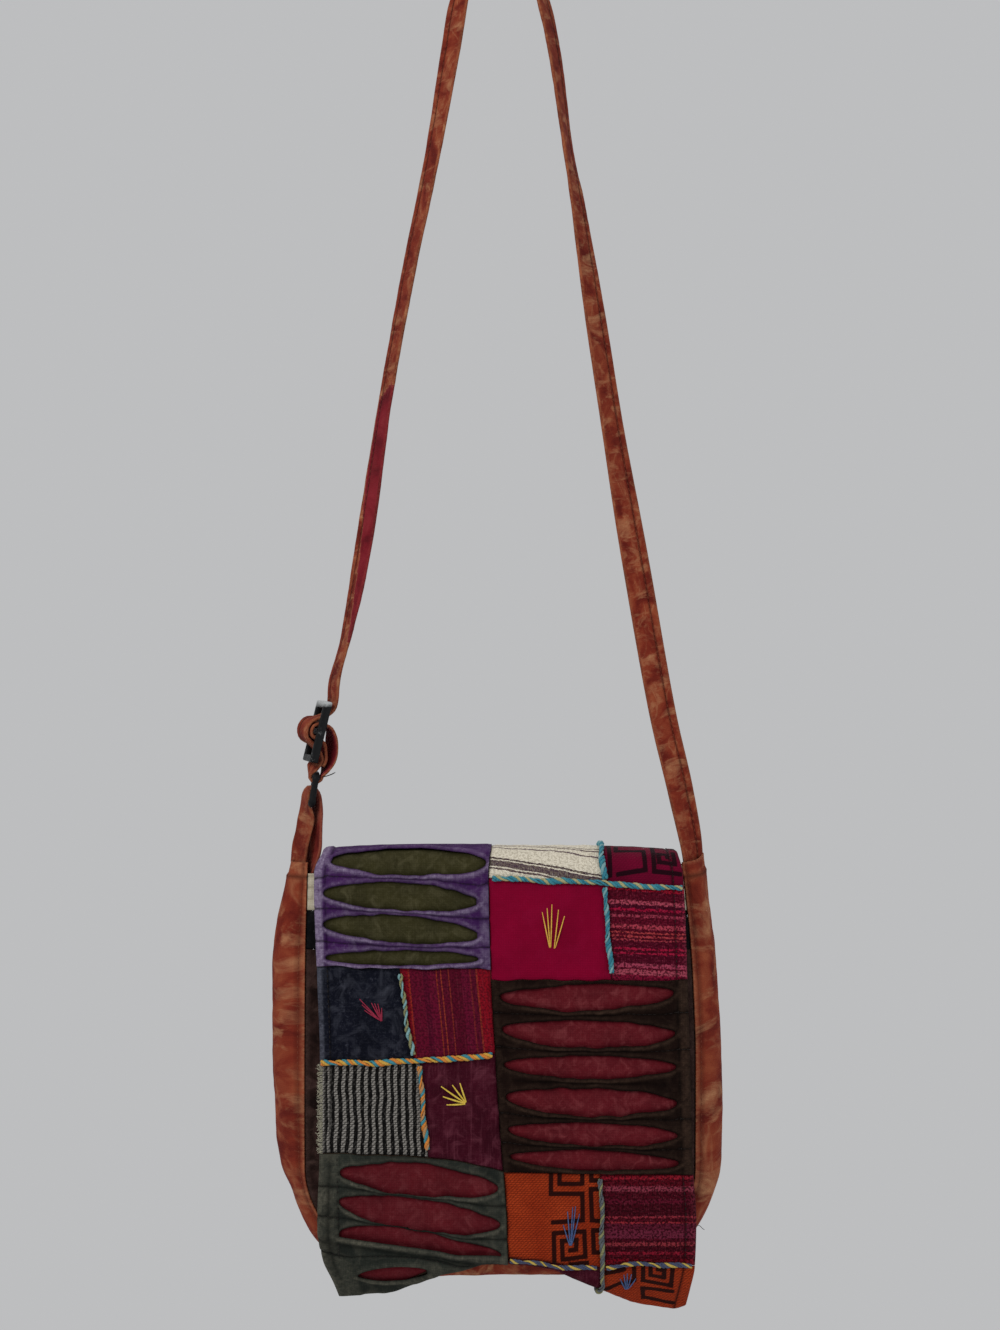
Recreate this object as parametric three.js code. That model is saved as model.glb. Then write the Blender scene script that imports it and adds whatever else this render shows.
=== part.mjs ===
// A patchwork crossbody bag hanging from its strap.
// Millimetres, +Z up, +X to the viewer's right, -Y towards the viewer.
// The origin is under the top of the strap, where the bag hangs.
import * as THREE from 'three';

// Cloth thicknesses and the layers of the flap, measured out from its inner face
const PANEL_THICK = 1.8;
const STRAP_WIDE = 20;
const STRAP_THICK = 2.4;
const SEAM_GAP = 0.4;
const BASE_LAYER = { from: 0, to: 1.2 };
const PATCH_LAYER = { from: 1.55, to: 2.75 };
const UNDERLAY_LAYER = { from: 1.5, to: 2.5 };
const SLIT_LAYER = { from: 3.15, to: 4.35 };
const LIP_RISE = 0.9;
const CORD_RADIUS = 2;
const CORD_CENTRE = 5.15;
const CORD_SIDES = 8;
const CORD_STEP = 16;
const CREASE_LIFT = 0.9;
const CORD_HEM_ROWS = [0, 5, 10, 15, 20, 25];

// The pouch: seams, depth and the outward swell of the gusset, by height
const POUCH_TOP = -650;
const BACK_TOP = -652;
const CORNER_TOP = -862;
const POUCH_BOTTOM = -930;
const CORNER_RADIUS = CORNER_TOP - POUCH_BOTTOM;
const FRONT_CROWN = 5;
const BACK_CROWN = 1.5;
const CROWN_FADE = { bottom: 80, top: { from: 20, to: 60 } };
const BAND_BOTTOM = -681.5;
const ZIP_BOTTOM = -708;
const DEPTH = [
  { z: -640, half: 12 },
  { z: -650, half: 13 },
  { z: -670, half: 16.5 },
  { z: -700, half: 23 },
  { z: -740, half: 28 },
  { z: -800, half: 30.5 },
  { z: -860, half: 28.5 },
  { z: -905, half: 22.5 },
  { z: -930, half: 17.5 },
];
// Front seam of the right side; the left one is straight
const LEFT_SEAM = -137.5;
const RIGHT_SEAM = [
  { z: -650, x: 130.3 },
  { z: -675, x: 132.5 },
  { z: -704, x: 134.8 },
  { z: -735, x: 136.3 },
  { z: -780, x: 137.5 },
  { z: -862, x: 137.5 },
];
// How far the gusset stands out, and how much further out its back seam lies than its front seam
const SWELL = [
  { z: -648, left: 12, right: 10, skew: 12 },
  { z: -660, left: 15.5, right: 12, skew: 10 },
  { z: -687, left: 22, right: 16, skew: 4.5 },
  { z: -706, left: 24.5, right: 18, skew: 1.5 },
  { z: -740, left: 25.8, right: 20.6, skew: 0 },
  { z: -790, left: 25.8, right: 21.6, skew: 0 },
  { z: -830, left: 23.6, right: 22.2, skew: 0 },
  { z: -862, left: 20.2, right: 21.2, skew: 0 },
  { z: -880, left: 14.6, right: 19.2, skew: 0 },
  { z: -912, left: 16.2, right: 19, skew: 0 },
  { z: -930, left: 16, right: 16, skew: 0 },
];
const SWELL_POWER = 3;
const GUSSET_THICK = 1.6;
const GUSSET_COLUMNS = 6;

// The flap: its section from the back seam over the top and down the front, inner face
const FLAP_SECTION = [
  { y: 18.2, z: -670 },
  { y: 15.4, z: -655 },
  { y: 12, z: -645.6 },
  { y: 5, z: -641 },
  { y: -5, z: -639.4 },
  { y: -15, z: -640.4 },
  { y: -22.5, z: -643.8 },
  { y: -27.5, z: -650 },
  { y: -30.5, z: -660 },
  { y: -34.5, z: -690 },
  { y: -38, z: -740 },
  { y: -40.5, z: -800 },
  { y: -41.5, z: -860 },
  { y: -42.8, z: -900 },
  { y: -44, z: -940 },
];
// Distances down the flap are counted from the front of its top; this row of them lies at this height
const MARK = { s: 60, z: -693 };
const FLAP_EDGES = [
  { s: -60, left: -126, right: 127 },
  { s: 2, left: -126.5, right: 127 },
  { s: 19, left: -131, right: 129 },
  { s: 90, left: -128.3, right: 131.2 },
  { s: 155, left: -126, right: 132.8 },
  { s: 215, left: -126, right: 134 },
  { s: 262, left: -127.4, right: 137 },
  { s: 293, left: -124, right: 135.8 },
  { s: 310, left: -118.5, right: 133.6 },
  { s: 330, left: -113, right: 130.6 },
];
const CORNER_DROOP = { depth: 3.5, reach: 130, power: 4 };
// Across the flap: where its foot starts to lean in and by how much, and the line along which the hem is
// doubled under, which runs out over the edge towards both corners
const HEM = [
  { x: -130, lean: 270, tilt: 26, fold: 345 },
  { x: -108, lean: 274, tilt: 28, fold: 335 },
  { x: -73, lean: 279, tilt: 26, fold: 316.5 },
  { x: -45, lean: 283, tilt: 16, fold: 298.5 },
  { x: -28, lean: 286, tilt: 6, fold: 290.5 },
  { x: -10, lean: 286, tilt: 0, fold: 285.5 },
  { x: 5, lean: 287, tilt: 0, fold: 285.5 },
  { x: 25, lean: 289, tilt: 0, fold: 287.5 },
  { x: 38, lean: 291, tilt: 4, fold: 290.5 },
  { x: 49, lean: 293, tilt: 10, fold: 295.5 },
  { x: 69, lean: 294, tilt: 18, fold: 305.5 },
  { x: 98, lean: 290.5, tilt: 27, fold: 324 },
  { x: 140, lean: 293, tilt: 24, fold: 348 },
];
const LEAN_RADIUS = 12;
const FOLD_TURN = 172;
const FOLD_RADIUS = 5;
const FLAP_END = { left: 326, middle: 316.5, right: 333 };
const FLAP_COLUMNS = 20;
const ROOF_ROWS = [-54, -44, -37, -31, -24, -14, -3, 3, 8, 13, 18, 24];
const BACK_SEAM_ROW = ROOF_ROWS[0];
const FRONT_ROWS = [60, 150, 240];
const ABOVE_CREASE = -12;
const HEM_ROWS = [0, 3, 6, 9, 12, 15, 18, 21, 24, 27, 29.5];

// Joints between patches that run down the flap: share of its width at each distance down
const DOWN_JOINTS = {
  leftEdge: [{ s: -60, u: 0 }],
  rightEdge: [{ s: -60, u: 1 }],
  centre: [
    { s: -60, u: 0.478 },
    { s: 90, u: 0.47 },
    { s: 150, u: 0.476 },
    { s: 228, u: 0.493 },
    { s: 262, u: 0.5 },
  ],
  creamFret: [{ s: -60, u: 0.784 }],
  magentaPink: [
    { s: 29, u: 0.785 },
    { s: 95, u: 0.794 },
  ],
  navyRed: [
    { s: 88, u: 0.224 },
    { s: 151, u: 0.255 },
  ],
  greyPlum: [
    { s: 152, u: 0.271 },
    { s: 218, u: 0.292 },
  ],
  orangeWine: [{ s: 231, u: 0.75 }],
};
// Joints that run across the flap: distance down at each share of its width
const ACROSS_JOINTS = {
  backSeam: [{ u: 0, s: BACK_SEAM_ROW }],
  rightFirst: [
    { u: 0.478, s: 25 },
    { u: 1, s: 31 },
  ],
  leftFirst: [
    { u: 0, s: 86 },
    { u: 0.47, s: 88 },
  ],
  rightSecond: [{ u: 0.47, s: 95.8 }],
  leftSecond: [
    { u: 0, s: 152 },
    { u: 0.255, s: 151 },
    { u: 0.476, s: 146.5 },
  ],
  leftThird: [
    { u: 0, s: 215 },
    { u: 0.292, s: 218 },
    { u: 0.493, s: 228 },
  ],
  rightThird: [
    { u: 0.493, s: 228.5 },
    { u: 1, s: 230 },
  ],
  end: [
    { u: 0, s: FLAP_END.left },
    { u: 0.2, s: 318.5 },
    { u: 0.45, s: FLAP_END.middle },
    { u: 0.7, s: 324 },
    { u: 0.88, s: 327.5 },
    { u: 1, s: FLAP_END.right },
  ],
};

// Plain patches between the joints
const PLAIN_PATCHES = [
  { name: 'patch_cream_stripe', left: 'centre', right: 'creamFret', top: 'backSeam', bottom: 'rightFirst',
    color: 0xcdc4ae },
  { name: 'patch_magenta_fret', left: 'creamFret', right: 'rightEdge', top: 'backSeam', bottom: 'rightFirst',
    color: 0x8a1440 },
  { name: 'patch_magenta', left: 'centre', right: 'magentaPink', top: 'rightFirst', bottom: 'rightSecond',
    color: 0x8e0f3c },
  { name: 'patch_pink_weave', left: 'magentaPink', right: 'rightEdge', top: 'rightFirst',
    bottom: 'rightSecond', color: 0x8a2346 },
  { name: 'patch_navy', left: 'leftEdge', right: 'navyRed', top: 'leftFirst', bottom: 'leftSecond',
    color: 0x1e2333 },
  { name: 'patch_red_stripe', left: 'navyRed', right: 'centre', top: 'leftFirst', bottom: 'leftSecond',
    color: 0x7a1c33 },
  { name: 'patch_grey_stripe', left: 'leftEdge', right: 'greyPlum', top: 'leftSecond', bottom: 'leftThird',
    color: 0x4a4a48 },
  { name: 'patch_plum', left: 'greyPlum', right: 'centre', top: 'leftSecond', bottom: 'leftThird',
    color: 0x4a1a32 },
  { name: 'patch_orange_fret', left: 'centre', right: 'orangeWine', top: 'rightThird', bottom: 'crease',
    color: 0xb5521f },
  { name: 'patch_wine_weave', left: 'orangeWine', right: 'rightEdge', top: 'rightThird', bottom: 'crease',
    color: 0x6e1a32 },
  { name: 'hem_plum', left: 'centre', right: 'orangeWine', top: 'crease', bottom: 'end', color: 0x4a1a32 },
  { name: 'hem_orange_fret', left: 'orangeWine', right: 'rightEdge', top: 'crease', bottom: 'end',
    color: 0xb5521f },
];

// Patches cut with lens slits over a second cloth. A slit has the distance down of its two tips and of
// its highest and lowest point; tips are shares of the patch's width.
const SLIT_PATCHES = [
  {
    name: 'patch_purple_slits', underlay: 'underlay_olive', color: 0x4a3168, underColor: 0x45421f,
    left: 'leftEdge', right: 'centre', top: 'backSeam', bottom: 'leftFirst',
    tips: { left: 0.05, right: 0.95 },
    slits: [
      { left: 11.2, right: 15.4, top: 3.5, bottom: 23 },
      { left: 34.3, right: 41.3, top: 28, bottom: 47.6 },
      { left: 56.7, right: 64.4, top: 49.7, bottom: 69.3 },
      { left: 79.8, right: 80.5, top: 74.9, bottom: 84.6 },
    ],
  },
  {
    name: 'patch_brown_slits', underlay: 'underlay_maroon', color: 0x2a2018, underColor: 0x6b2630,
    left: 'centre', right: 'rightEdge', top: 'rightSecond', bottom: 'rightThird',
    tips: { left: 0.04, right: 0.925 },
    slits: [
      { left: 106.4, right: 103.6, top: 98.7, bottom: 116.2 },
      { left: 128.8, right: 131.6, top: 123.2, bottom: 141.4 },
      { left: 153.3, right: 154.7, top: 147.7, bottom: 163.1 },
      { left: 175.7, right: 179.9, top: 170.1, bottom: 189 },
      { left: 198.1, right: 202.3, top: 193.9, bottom: 209.3 },
      { left: 217, right: 221.5, top: 213.5, bottom: 226.4 },
    ],
  },
  {
    name: 'patch_green_slits', underlay: 'underlay_red', color: 0x3a4440, underColor: 0x7a1f2b,
    left: 'leftEdge', right: 'centre', top: 'leftThird', bottom: 'end', tips: { left: 0.115, right: 0.965 },
    slits: [
      { left: 228, right: 239, top: 222.6, bottom: 244.5 },
      { left: 248, right: 264, top: 246.5, bottom: 268 },
    ],
    // the slit along the crease, and the short one below it on the hanging corner
    creaseSlit: { above: 11, below: 1.5 },
    hemSlit: { from: 1, to: 4, down: 30, halfHeight: 4.5 },
  },
];
const SLIT_COLUMNS = 8;
const TIP_HALF_GAP = 0.5;
const LENS_POWER = 0.7;
const UNDERLAY_ROWS = { purple: [42, 64], green: 245 };
const UNDERLAY_MARGIN = 1.5;

// Twisted cords sewn over the joints, as points in share of width and distance down
const CORDS = [
  { name: 'cord_cream_fret', color: 0x3f8a94, points: [[0.784, -20], [0.784, -10], [0.784, -2], [0.784, 4],
    [0.784, 10], [0.784, 17], [0.785, 24.4]] },
  { name: 'cord_first_row', color: 0x6aa0a0, points: [[0.486, 25], [0.784, 28.4], [0.994, 31]] },
  { name: 'cord_magenta_pink', color: 0x3f8a94, points: [[0.786, 32.5], [0.79, 62], [0.794, 91]] },
  { name: 'cord_navy_red', color: 0x7d8580, points: [[0.226, 92], [0.238, 120], [0.253, 146.5]] },
  { name: 'cord_second_row', color: 0xc07a30, points: [[0.008, 152], [0.255, 151], [0.467, 146.6]] },
  { name: 'cord_grey_plum', color: 0xb06a34, points: [[0.271, 155.6], [0.281, 185], [0.289, 212]] },
  { name: 'cord_orange_wine', color: 0x8a93a0, points: [[0.75, 234.5], [0.752, 262], [0.75, 285]],
    toHem: true },
  { name: 'cord_fold_left', color: 0x6f7f9a, alongCrease: [0.512, 0.735] },
  { name: 'cord_fold_right', color: 0x6f7f9a, alongCrease: [0.765, 0.99] },
];

// The slider and ring, seen edge on at the left strap; each turns in the XZ plane
const SLIDER = {
  x: -131.8, z: -555, lean: 14, long: 45, wide: 30, thick: 6, bar: 5, middleBar: 5, rail: 3.5,
};
const RING = { x: -134.5, z: -596.5, lean: 9.3, long: 24, wide: 30, thick: 4, bar: 4 };
const WRAP = { radius: 4.4, tabRise: 11.2 };
const FRAME_CORNER = 3;
// Both hang turned about an upright line, with the strap that they hold: degrees of turn by height
const HARDWARE_TURN = {
  x: -133,
  heights: [
    { z: -640, degrees: 0 },
    { z: -612, degrees: 7 },
    { z: -584, degrees: 7 },
    { z: -577, degrees: 17 },
    { z: -532, degrees: 17 },
    { z: -495, degrees: 0 },
  ],
};

// The strap's middle line from the right gusset upwards, with its turn: 0 faces the viewer, 90 is edge on
const RIGHT_STRAND = [
  { x: 138.2, z: -664, turn: 55 },
  { x: 139.2, z: -646, turn: 50 },
  { x: 130, z: -598, turn: 22 },
  { x: 118.1, z: -545, turn: 12 },
  { x: 99.3, z: -440.5, turn: 8 },
  { x: 82.7, z: -344, turn: 33 },
  { x: 68.1, z: -250.5, turn: 40 },
  { x: 55.6, z: -170, turn: 60 },
  { x: 49.1, z: -134, turn: 69 },
  { x: 39, z: -62.6, turn: 62 },
];
const TOP_ARC = { x: 0.8, radius: 30, from: 10, to: 170, turns: [62, 76, 90, 90, 90, 70, 48] };
const LEFT_STRAND = [
  { x: -35.6, z: -62.6, turn: 44 },
  { x: -47.8, z: -134, turn: 54 },
  { x: -67.3, z: -230, turn: 59 },
  { x: -83.1, z: -318, turn: 60 },
  { x: -97.9, z: -417, turn: 50 },
  { x: -110.5, z: -484, turn: 66 },
  { x: -119.2, z: -517, turn: 78 },
];
// Route through the slider, in its own axes: across to the right and along upwards, with the strap's turn
const SLIDER_IN = [
  { across: 5.8, along: 19.5, turn: 84 },
  { across: 3, along: 13.5, turn: 88 },
  { across: -2.5, along: 9.8, turn: 90 },
  { across: -8.6, along: 6.4, turn: 82 },
  { across: -10.8, along: 0, turn: 80 },
  { across: -8.6, along: -6.4, turn: 84 },
  { across: -2, along: -9.8, turn: 90 },
  { across: 3.2, along: -13.5, turn: 90 },
  { across: 5.8, along: -19, turn: 86 },
  { across: 3.2, along: -26, turn: 88 },
];
const SLIDER_OUT = [
  { across: 12.4, along: -25, turn: 96 },
  { across: 14, along: -14.5, turn: 101 },
  { across: 12, along: -4, turn: 97 },
  { across: 7.4, along: 4.4, turn: 90 },
  { across: 1, along: 5.8, turn: 90 },
  { across: -5.2, along: 4, turn: 87 },
  { across: -6.8, along: 0, turn: 84 },
  { across: -5.2, along: -4, turn: 87 },
  { across: 1, along: -5.4, turn: 90 },
  { across: 5.6, along: -8, turn: 88 },
  { across: 7.6, along: -13, turn: 84 },
  { across: 9.3, along: -18.5, turn: 82 },
  { across: 8.8, along: -23.5, turn: 84 },
];
// The two legs of the ring's tab: the outer one stands on the top of the left gusset, the inner one inside it
const TAB_OUTER_LEG = [
  { x: -144.6, z: -647.4, turn: 112 },
  { x: -143.8, z: -638, turn: 113 },
  { x: -142.4, z: -628, turn: 113 },
  { x: -139.6, z: -617, turn: 104 },
];
const TAB_INNER_LEG = [
  { x: -133, z: -616, turn: 78 },
  { x: -133.9, z: -622, turn: 64 },
  { x: -134.4, z: -630, turn: 54 },
  { x: -134.6, z: -640, turn: 68 },
  { x: -135.5, z: -652, turn: 91 },
  { x: -137, z: -666, turn: 94 },
];
const STRAP_STEPS = 2;
const EDGE_ON = 90;
const UPRIGHT = new THREE.Vector3(0, 0, 1);

const FINISH = { cloth: { roughness: 0.92, metalness: 0 }, metal: { roughness: 0.35, metalness: 0.4 } };
const RUST = 0x9c4a32;
const BROWN = 0x33261d;
const CREAM = 0xcdc4ae;
const BLACK = 0x141416;

const bag = new THREE.Group();

function radians(degrees) {
  return degrees * Math.PI / 180;
}

// Value of one column of a table at a place in another column, straight between rows
function lookUp(rows, by, value, column) {
  const rising = rows.length < 2 || rows[1][by] > rows[0][by];
  const sorted = rising ? rows : [...rows].reverse();
  if (value <= sorted[0][by]) return sorted[0][column];
  for (let i = 1; i < sorted.length; i += 1) {
    if (value <= sorted[i][by]) {
      const share = (value - sorted[i - 1][by]) / (sorted[i][by] - sorted[i - 1][by]);
      return THREE.MathUtils.lerp(sorted[i - 1][column], sorted[i][column], share);
    }
  }
  return sorted[sorted.length - 1][column];
}

function signedVolume(geometry) {
  const at = geometry.getAttribute('position');
  const index = geometry.getIndex();
  const corner = [new THREE.Vector3(), new THREE.Vector3(), new THREE.Vector3()];
  let volume = 0;
  for (let i = 0; i < index.count; i += 3) {
    corner.forEach((point, k) => point.fromBufferAttribute(at, index.getX(i + k)));
    volume += corner[0].dot(corner[1].clone().cross(corner[2])) / 6;
  }
  return volume;
}

// A wall of cloth over a grid: place(column, row, side) gives the point on side 0 or 1 of the wall,
// and isHole(column, row) leaves a cell open. Rims close every edge and hole.
function clothWall(columns, rows, place, isHole = () => false) {
  const positions = [];
  const numbers = new Map();
  const triangles = [];
  const kept = (i, j) => i >= 0 && j >= 0 && i < columns && j < rows && !isHole(i, j);
  const vertex = (i, j, side) => {
    const key = `${i} ${j} ${side}`;
    if (!numbers.has(key)) {
      numbers.set(key, positions.length / 3);
      positions.push(...place(i, j, side).toArray());
    }
    return numbers.get(key);
  };
  const quad = (a, b, c, d) => triangles.push(a, b, c, a, c, d);
  const rim = (i0, j0, i1, j1) => {
    quad(vertex(i0, j0, 1), vertex(i0, j0, 0), vertex(i1, j1, 0), vertex(i1, j1, 1));
  };
  for (let i = 0; i < columns; i += 1) {
    for (let j = 0; j < rows; j += 1) {
      if (!kept(i, j)) continue;
      quad(vertex(i, j, 1), vertex(i + 1, j, 1), vertex(i + 1, j + 1, 1), vertex(i, j + 1, 1));
      quad(vertex(i, j, 0), vertex(i, j + 1, 0), vertex(i + 1, j + 1, 0), vertex(i + 1, j, 0));
      if (!kept(i, j - 1)) rim(i, j, i + 1, j);
      if (!kept(i + 1, j)) rim(i + 1, j, i + 1, j + 1);
      if (!kept(i, j + 1)) rim(i + 1, j + 1, i, j + 1);
      if (!kept(i - 1, j)) rim(i, j + 1, i, j);
    }
  }
  const geometry = new THREE.BufferGeometry();
  geometry.setAttribute('position', new THREE.Float32BufferAttribute(positions, 3));
  geometry.setIndex(triangles);
  if (signedVolume(geometry) < 0) geometry.setIndex(triangles.reverse());
  geometry.computeVertexNormals();
  return geometry;
}

function addPiece(name, geometry, color, finish = 'cloth') {
  const material = new THREE.MeshStandardMaterial({ color, ...FINISH[finish] });
  const mesh = new THREE.Mesh(geometry, material);
  mesh.name = name;
  bag.add(mesh);
  return mesh;
}

// The flap

const flapCurve = new THREE.SplineCurve(FLAP_SECTION.map((row) => new THREE.Vector2(row.y, row.z)));
flapCurve.arcLengthDivisions = 600;
const flapLength = flapCurve.getLength();
const flapStart = MARK.s - distanceToHeight(MARK.z);

// Length of the section from the back seam to the point on the front at a height
function distanceToHeight(height) {
  let share = 1;
  while (flapCurve.getPointAt(share).y < height) share -= 0.0005;
  return share * flapLength;
}

function acrossFlap(u, s) {
  return THREE.MathUtils.lerp(lookUp(FLAP_EDGES, 's', s, 'left'), lookUp(FLAP_EDGES, 's', s, 'right'), u);
}

// The crease where the flap's foot starts to lean in
function creaseAt(u) {
  return lookUp(HEM, 'x', acrossFlap(u, HEM[0].lean), 'lean');
}

// Bends of the hem at x, in order down the flap
function hemBends(x) {
  const tilt = radians(lookUp(HEM, 'x', x, 'tilt'));
  const fold = { s: lookUp(HEM, 'x', x, 'fold'), turn: radians(FOLD_TURN) - tilt, radius: FOLD_RADIUS };
  const lean = { s: lookUp(HEM, 'x', x, 'lean'), turn: tilt, radius: LEAN_RADIUS };
  lean.s = Math.min(lean.s, fold.s - lean.turn * lean.radius);
  return [lean, fold];
}

// Inner face of the flap at x and a distance down it
function flapFace(x, s) {
  const bends = hemBends(x);
  let reached = Math.min(s, bends[0].s);
  const share = THREE.MathUtils.clamp((reached - flapStart) / flapLength, 0, 1);
  const point = flapCurve.getPointAt(share);
  const down = flapCurve.getTangentAt(share);
  const inward = new THREE.Vector2(-down.y, down.x);
  let heading = 0;
  const goStraight = (distance) => {
    point.addScaledVector(down, distance * Math.cos(heading));
    point.addScaledVector(inward, distance * Math.sin(heading));
    reached += distance;
  };
  for (const bend of bends) {
    goStraight(Math.max(0, Math.min(s, bend.s) - reached));
    const turn = THREE.MathUtils.clamp((s - reached) / bend.radius, 0, bend.turn);
    point.addScaledVector(down, bend.radius * (Math.sin(heading + turn) - Math.sin(heading)));
    point.addScaledVector(inward, bend.radius * (Math.cos(heading) - Math.cos(heading + turn)));
    heading += turn;
    reached += turn * bend.radius;
  }
  goStraight(s - reached);
  const roofShare = 1 - THREE.MathUtils.smoothstep(s, 0, MARK.s);
  const droop = CORNER_DROOP.depth * Math.abs(x / CORNER_DROOP.reach) ** CORNER_DROOP.power * roofShare;
  return new THREE.Vector3(x, point.x, point.y - droop);
}

// A point standing off the flap's inner face, at a share of its width and a distance down
function onFlap(u, s, off) {
  const reach = 0.5;
  const x = acrossFlap(u, s);
  const sideways = flapFace(x + reach, s).sub(flapFace(x - reach, s));
  const downwards = flapFace(x, s + reach).sub(flapFace(x, s - reach));
  const outward = downwards.cross(sideways).normalize();
  return flapFace(x, s).addScaledVector(outward, off);
}

// A joint across the flap as a function of the share of its width
function acrossJoint(name) {
  if (name === 'crease') return creaseAt;
  return (u) => lookUp(ACROSS_JOINTS[name], 'u', u, 's');
}

// A patch: its share of the flap's width between two joints, kept clear of its neighbours
function patchAcross(patch, c, s) {
  const inset = SEAM_GAP / 2 / (acrossFlap(1, s) - acrossFlap(0, s));
  const left = lookUp(DOWN_JOINTS[patch.left], 's', s, 'u') + inset;
  const right = lookUp(DOWN_JOINTS[patch.right], 's', s, 'u') - inset;
  return THREE.MathUtils.lerp(left, right, c);
}

// Rows of a plain patch, each giving the distance down at a share of the flap's width
function plainRows(patch) {
  const top = acrossJoint(patch.top);
  const bottom = acrossJoint(patch.bottom);
  const above = (u) => top(u) + SEAM_GAP / 2;
  const below = (u) => bottom(u) - SEAM_GAP / 2;
  if (patch.top === 'backSeam') {
    const roof = ROOF_ROWS.slice(0, -1).map((s) => () => s);
    const last = roof[roof.length - 1];
    return [...roof, (u) => (last(u) + below(u)) / 2, below];
  }
  if (patch.top === 'crease') {
    const hem = HEM_ROWS.slice(1).map((past) => (u) => top(u) + past);
    return [above, ...hem, below];
  }
  const steps = 4;
  return Array.from({ length: steps + 1 }, (_, k) => {
    return (u) => THREE.MathUtils.lerp(above(u), below(u), k / steps);
  });
}

// The share of a patch's columns that keeps its corners on the flap's own columns at the hem
function patchColumns(patch) {
  const s = FLAP_END.left;
  const left = lookUp(DOWN_JOINTS[patch.left], 's', s, 'u');
  const right = lookUp(DOWN_JOINTS[patch.right], 's', s, 'u');
  return Math.max(4, Math.round((right - left) * FLAP_COLUMNS));
}

function patchPoint(patch, c, row, off) {
  const guess = row(patchAcross(patch, c, row(0.5)));
  const s = row(patchAcross(patch, c, guess));
  return onFlap(patchAcross(patch, c, s), s, off);
}

function addFlapBase() {
  const front = FRONT_ROWS.map((s) => () => s);
  const roof = ROOF_ROWS.map((s) => () => s);
  const hem = [ABOVE_CREASE, ...HEM_ROWS].map((past) => (u) => creaseAt(u) + past);
  const rows = [...roof, ...front, ...hem, acrossJoint('end')];
  const geometry = clothWall(FLAP_COLUMNS, rows.length - 1, (i, j, side) => {
    const u = i / FLAP_COLUMNS;
    return onFlap(u, rows[j](u), side ? BASE_LAYER.to : BASE_LAYER.from);
  });
  addPiece('flap_base', geometry, 0x5a4a3c);
}

function addPlainPatch(patch) {
  const rows = plainRows(patch);
  const columns = patchColumns(patch);
  const geometry = clothWall(columns, rows.length - 1, (i, j, side) => {
    return patchPoint(patch, i / columns, rows[j], side ? PATCH_LAYER.to : PATCH_LAYER.from);
  });
  addPiece(patch.name, geometry, patch.color);
}

// How far the share c of a patch's width lies between the tips of its slits
function shareBetween(tips, c) {
  return THREE.MathUtils.clamp((c - tips.left) / (tips.right - tips.left), 0, 1);
}

// Upper and lower edge of a slit as functions of the share c of the patch's width
function slitEdges(slit, tips) {
  const middleAt = (c) => THREE.MathUtils.lerp(slit.left, slit.right, shareBetween(tips, c));
  const middle = (slit.left + slit.right) / 2;
  const opening = (c) => Math.sin(Math.PI * shareBetween(tips, c)) ** LENS_POWER;
  const upper = (c) => middleAt(c) - TIP_HALF_GAP - (middle - slit.top) * opening(c);
  const lower = (c) => middleAt(c) + TIP_HALF_GAP + (slit.bottom - middle) * opening(c);
  return { upper, lower };
}

// Rows of a slit patch from top to bottom: at gives the distance down, rise how far the cloth stands up,
// and hole marks the open strip below a row
function slitRows(patch) {
  const top = acrossJoint(patch.top);
  const bottom = acrossJoint(patch.bottom);
  const flapU = (c, s) => patchAcross(patch, c, s);
  const rows = [];
  const addRow = (at, rise = 0, hole = null) => rows.push({ at, rise, hole });
  const between = (first, second, share) => (c) => THREE.MathUtils.lerp(first(c), second(c), share);
  if (patch.top === 'backSeam') {
    ROOF_ROWS.filter((s) => s < 0).forEach((s) => addRow(() => s));
  } else {
    addRow((c) => top(flapU(c, patch.slits[0].top)) + SEAM_GAP / 2);
  }
  const wide = { from: 1, to: SLIT_COLUMNS + 1 };
  const edges = patch.slits.map((slit) => ({ ...slitEdges(slit, patch.tips), hole: wide }));
  const creaseRow = (c) => creaseAt(flapU(c, FLAP_END.left));
  if (patch.creaseSlit) {
    const { above, below } = patch.creaseSlit;
    const opening = (c) => Math.sin(Math.PI * shareBetween(patch.tips, c)) ** LENS_POWER;
    edges.push({
      upper: (c) => creaseRow(c) - below - 2 * TIP_HALF_GAP - above * opening(c),
      lower: (c) => creaseRow(c) - below,
      hole: wide,
    });
  }
  edges.forEach((edge, k) => {
    const before = rows[rows.length - 1].at;
    if (k === 0) [0.33, 0.67].forEach((share) => addRow(between(before, edge.upper, share)));
    addRow(edge.upper, LIP_RISE, edge.hole);
    addRow(edge.lower, LIP_RISE);
    const shares = k === 0 ? [0.25, 0.5, 0.75] : [0.5];
    const next = edges[k + 1];
    if (next) shares.forEach((share) => addRow(between(edge.lower, next.upper, share)));
  });
  if (patch.hemSlit) {
    const { from, to, down, halfHeight } = patch.hemSlit;
    const [lensTop, lensBottom] = HEM_ROWS.slice(-2);
    const lensRow = (side, plain) => (c) => {
      const share = (c * (SLIT_COLUMNS + 2) - from) / (to - from);
      if (share < 0 || share > 1) return creaseRow(c) + plain;
      return creaseRow(c) + down + side * (TIP_HALF_GAP + halfHeight * Math.sin(Math.PI * share));
    };
    // doubled cloth stands off the flap as far as a lip does
    HEM_ROWS.slice(0, -2).forEach((past) => addRow((c) => creaseRow(c) + past, LIP_RISE));
    addRow(lensRow(-1, lensTop), LIP_RISE, { from, to });
    addRow(lensRow(1, lensBottom), LIP_RISE);
  }
  addRow((c) => bottom(flapU(c, FLAP_END.left)) - SEAM_GAP / 2);
  return rows;
}

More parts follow.
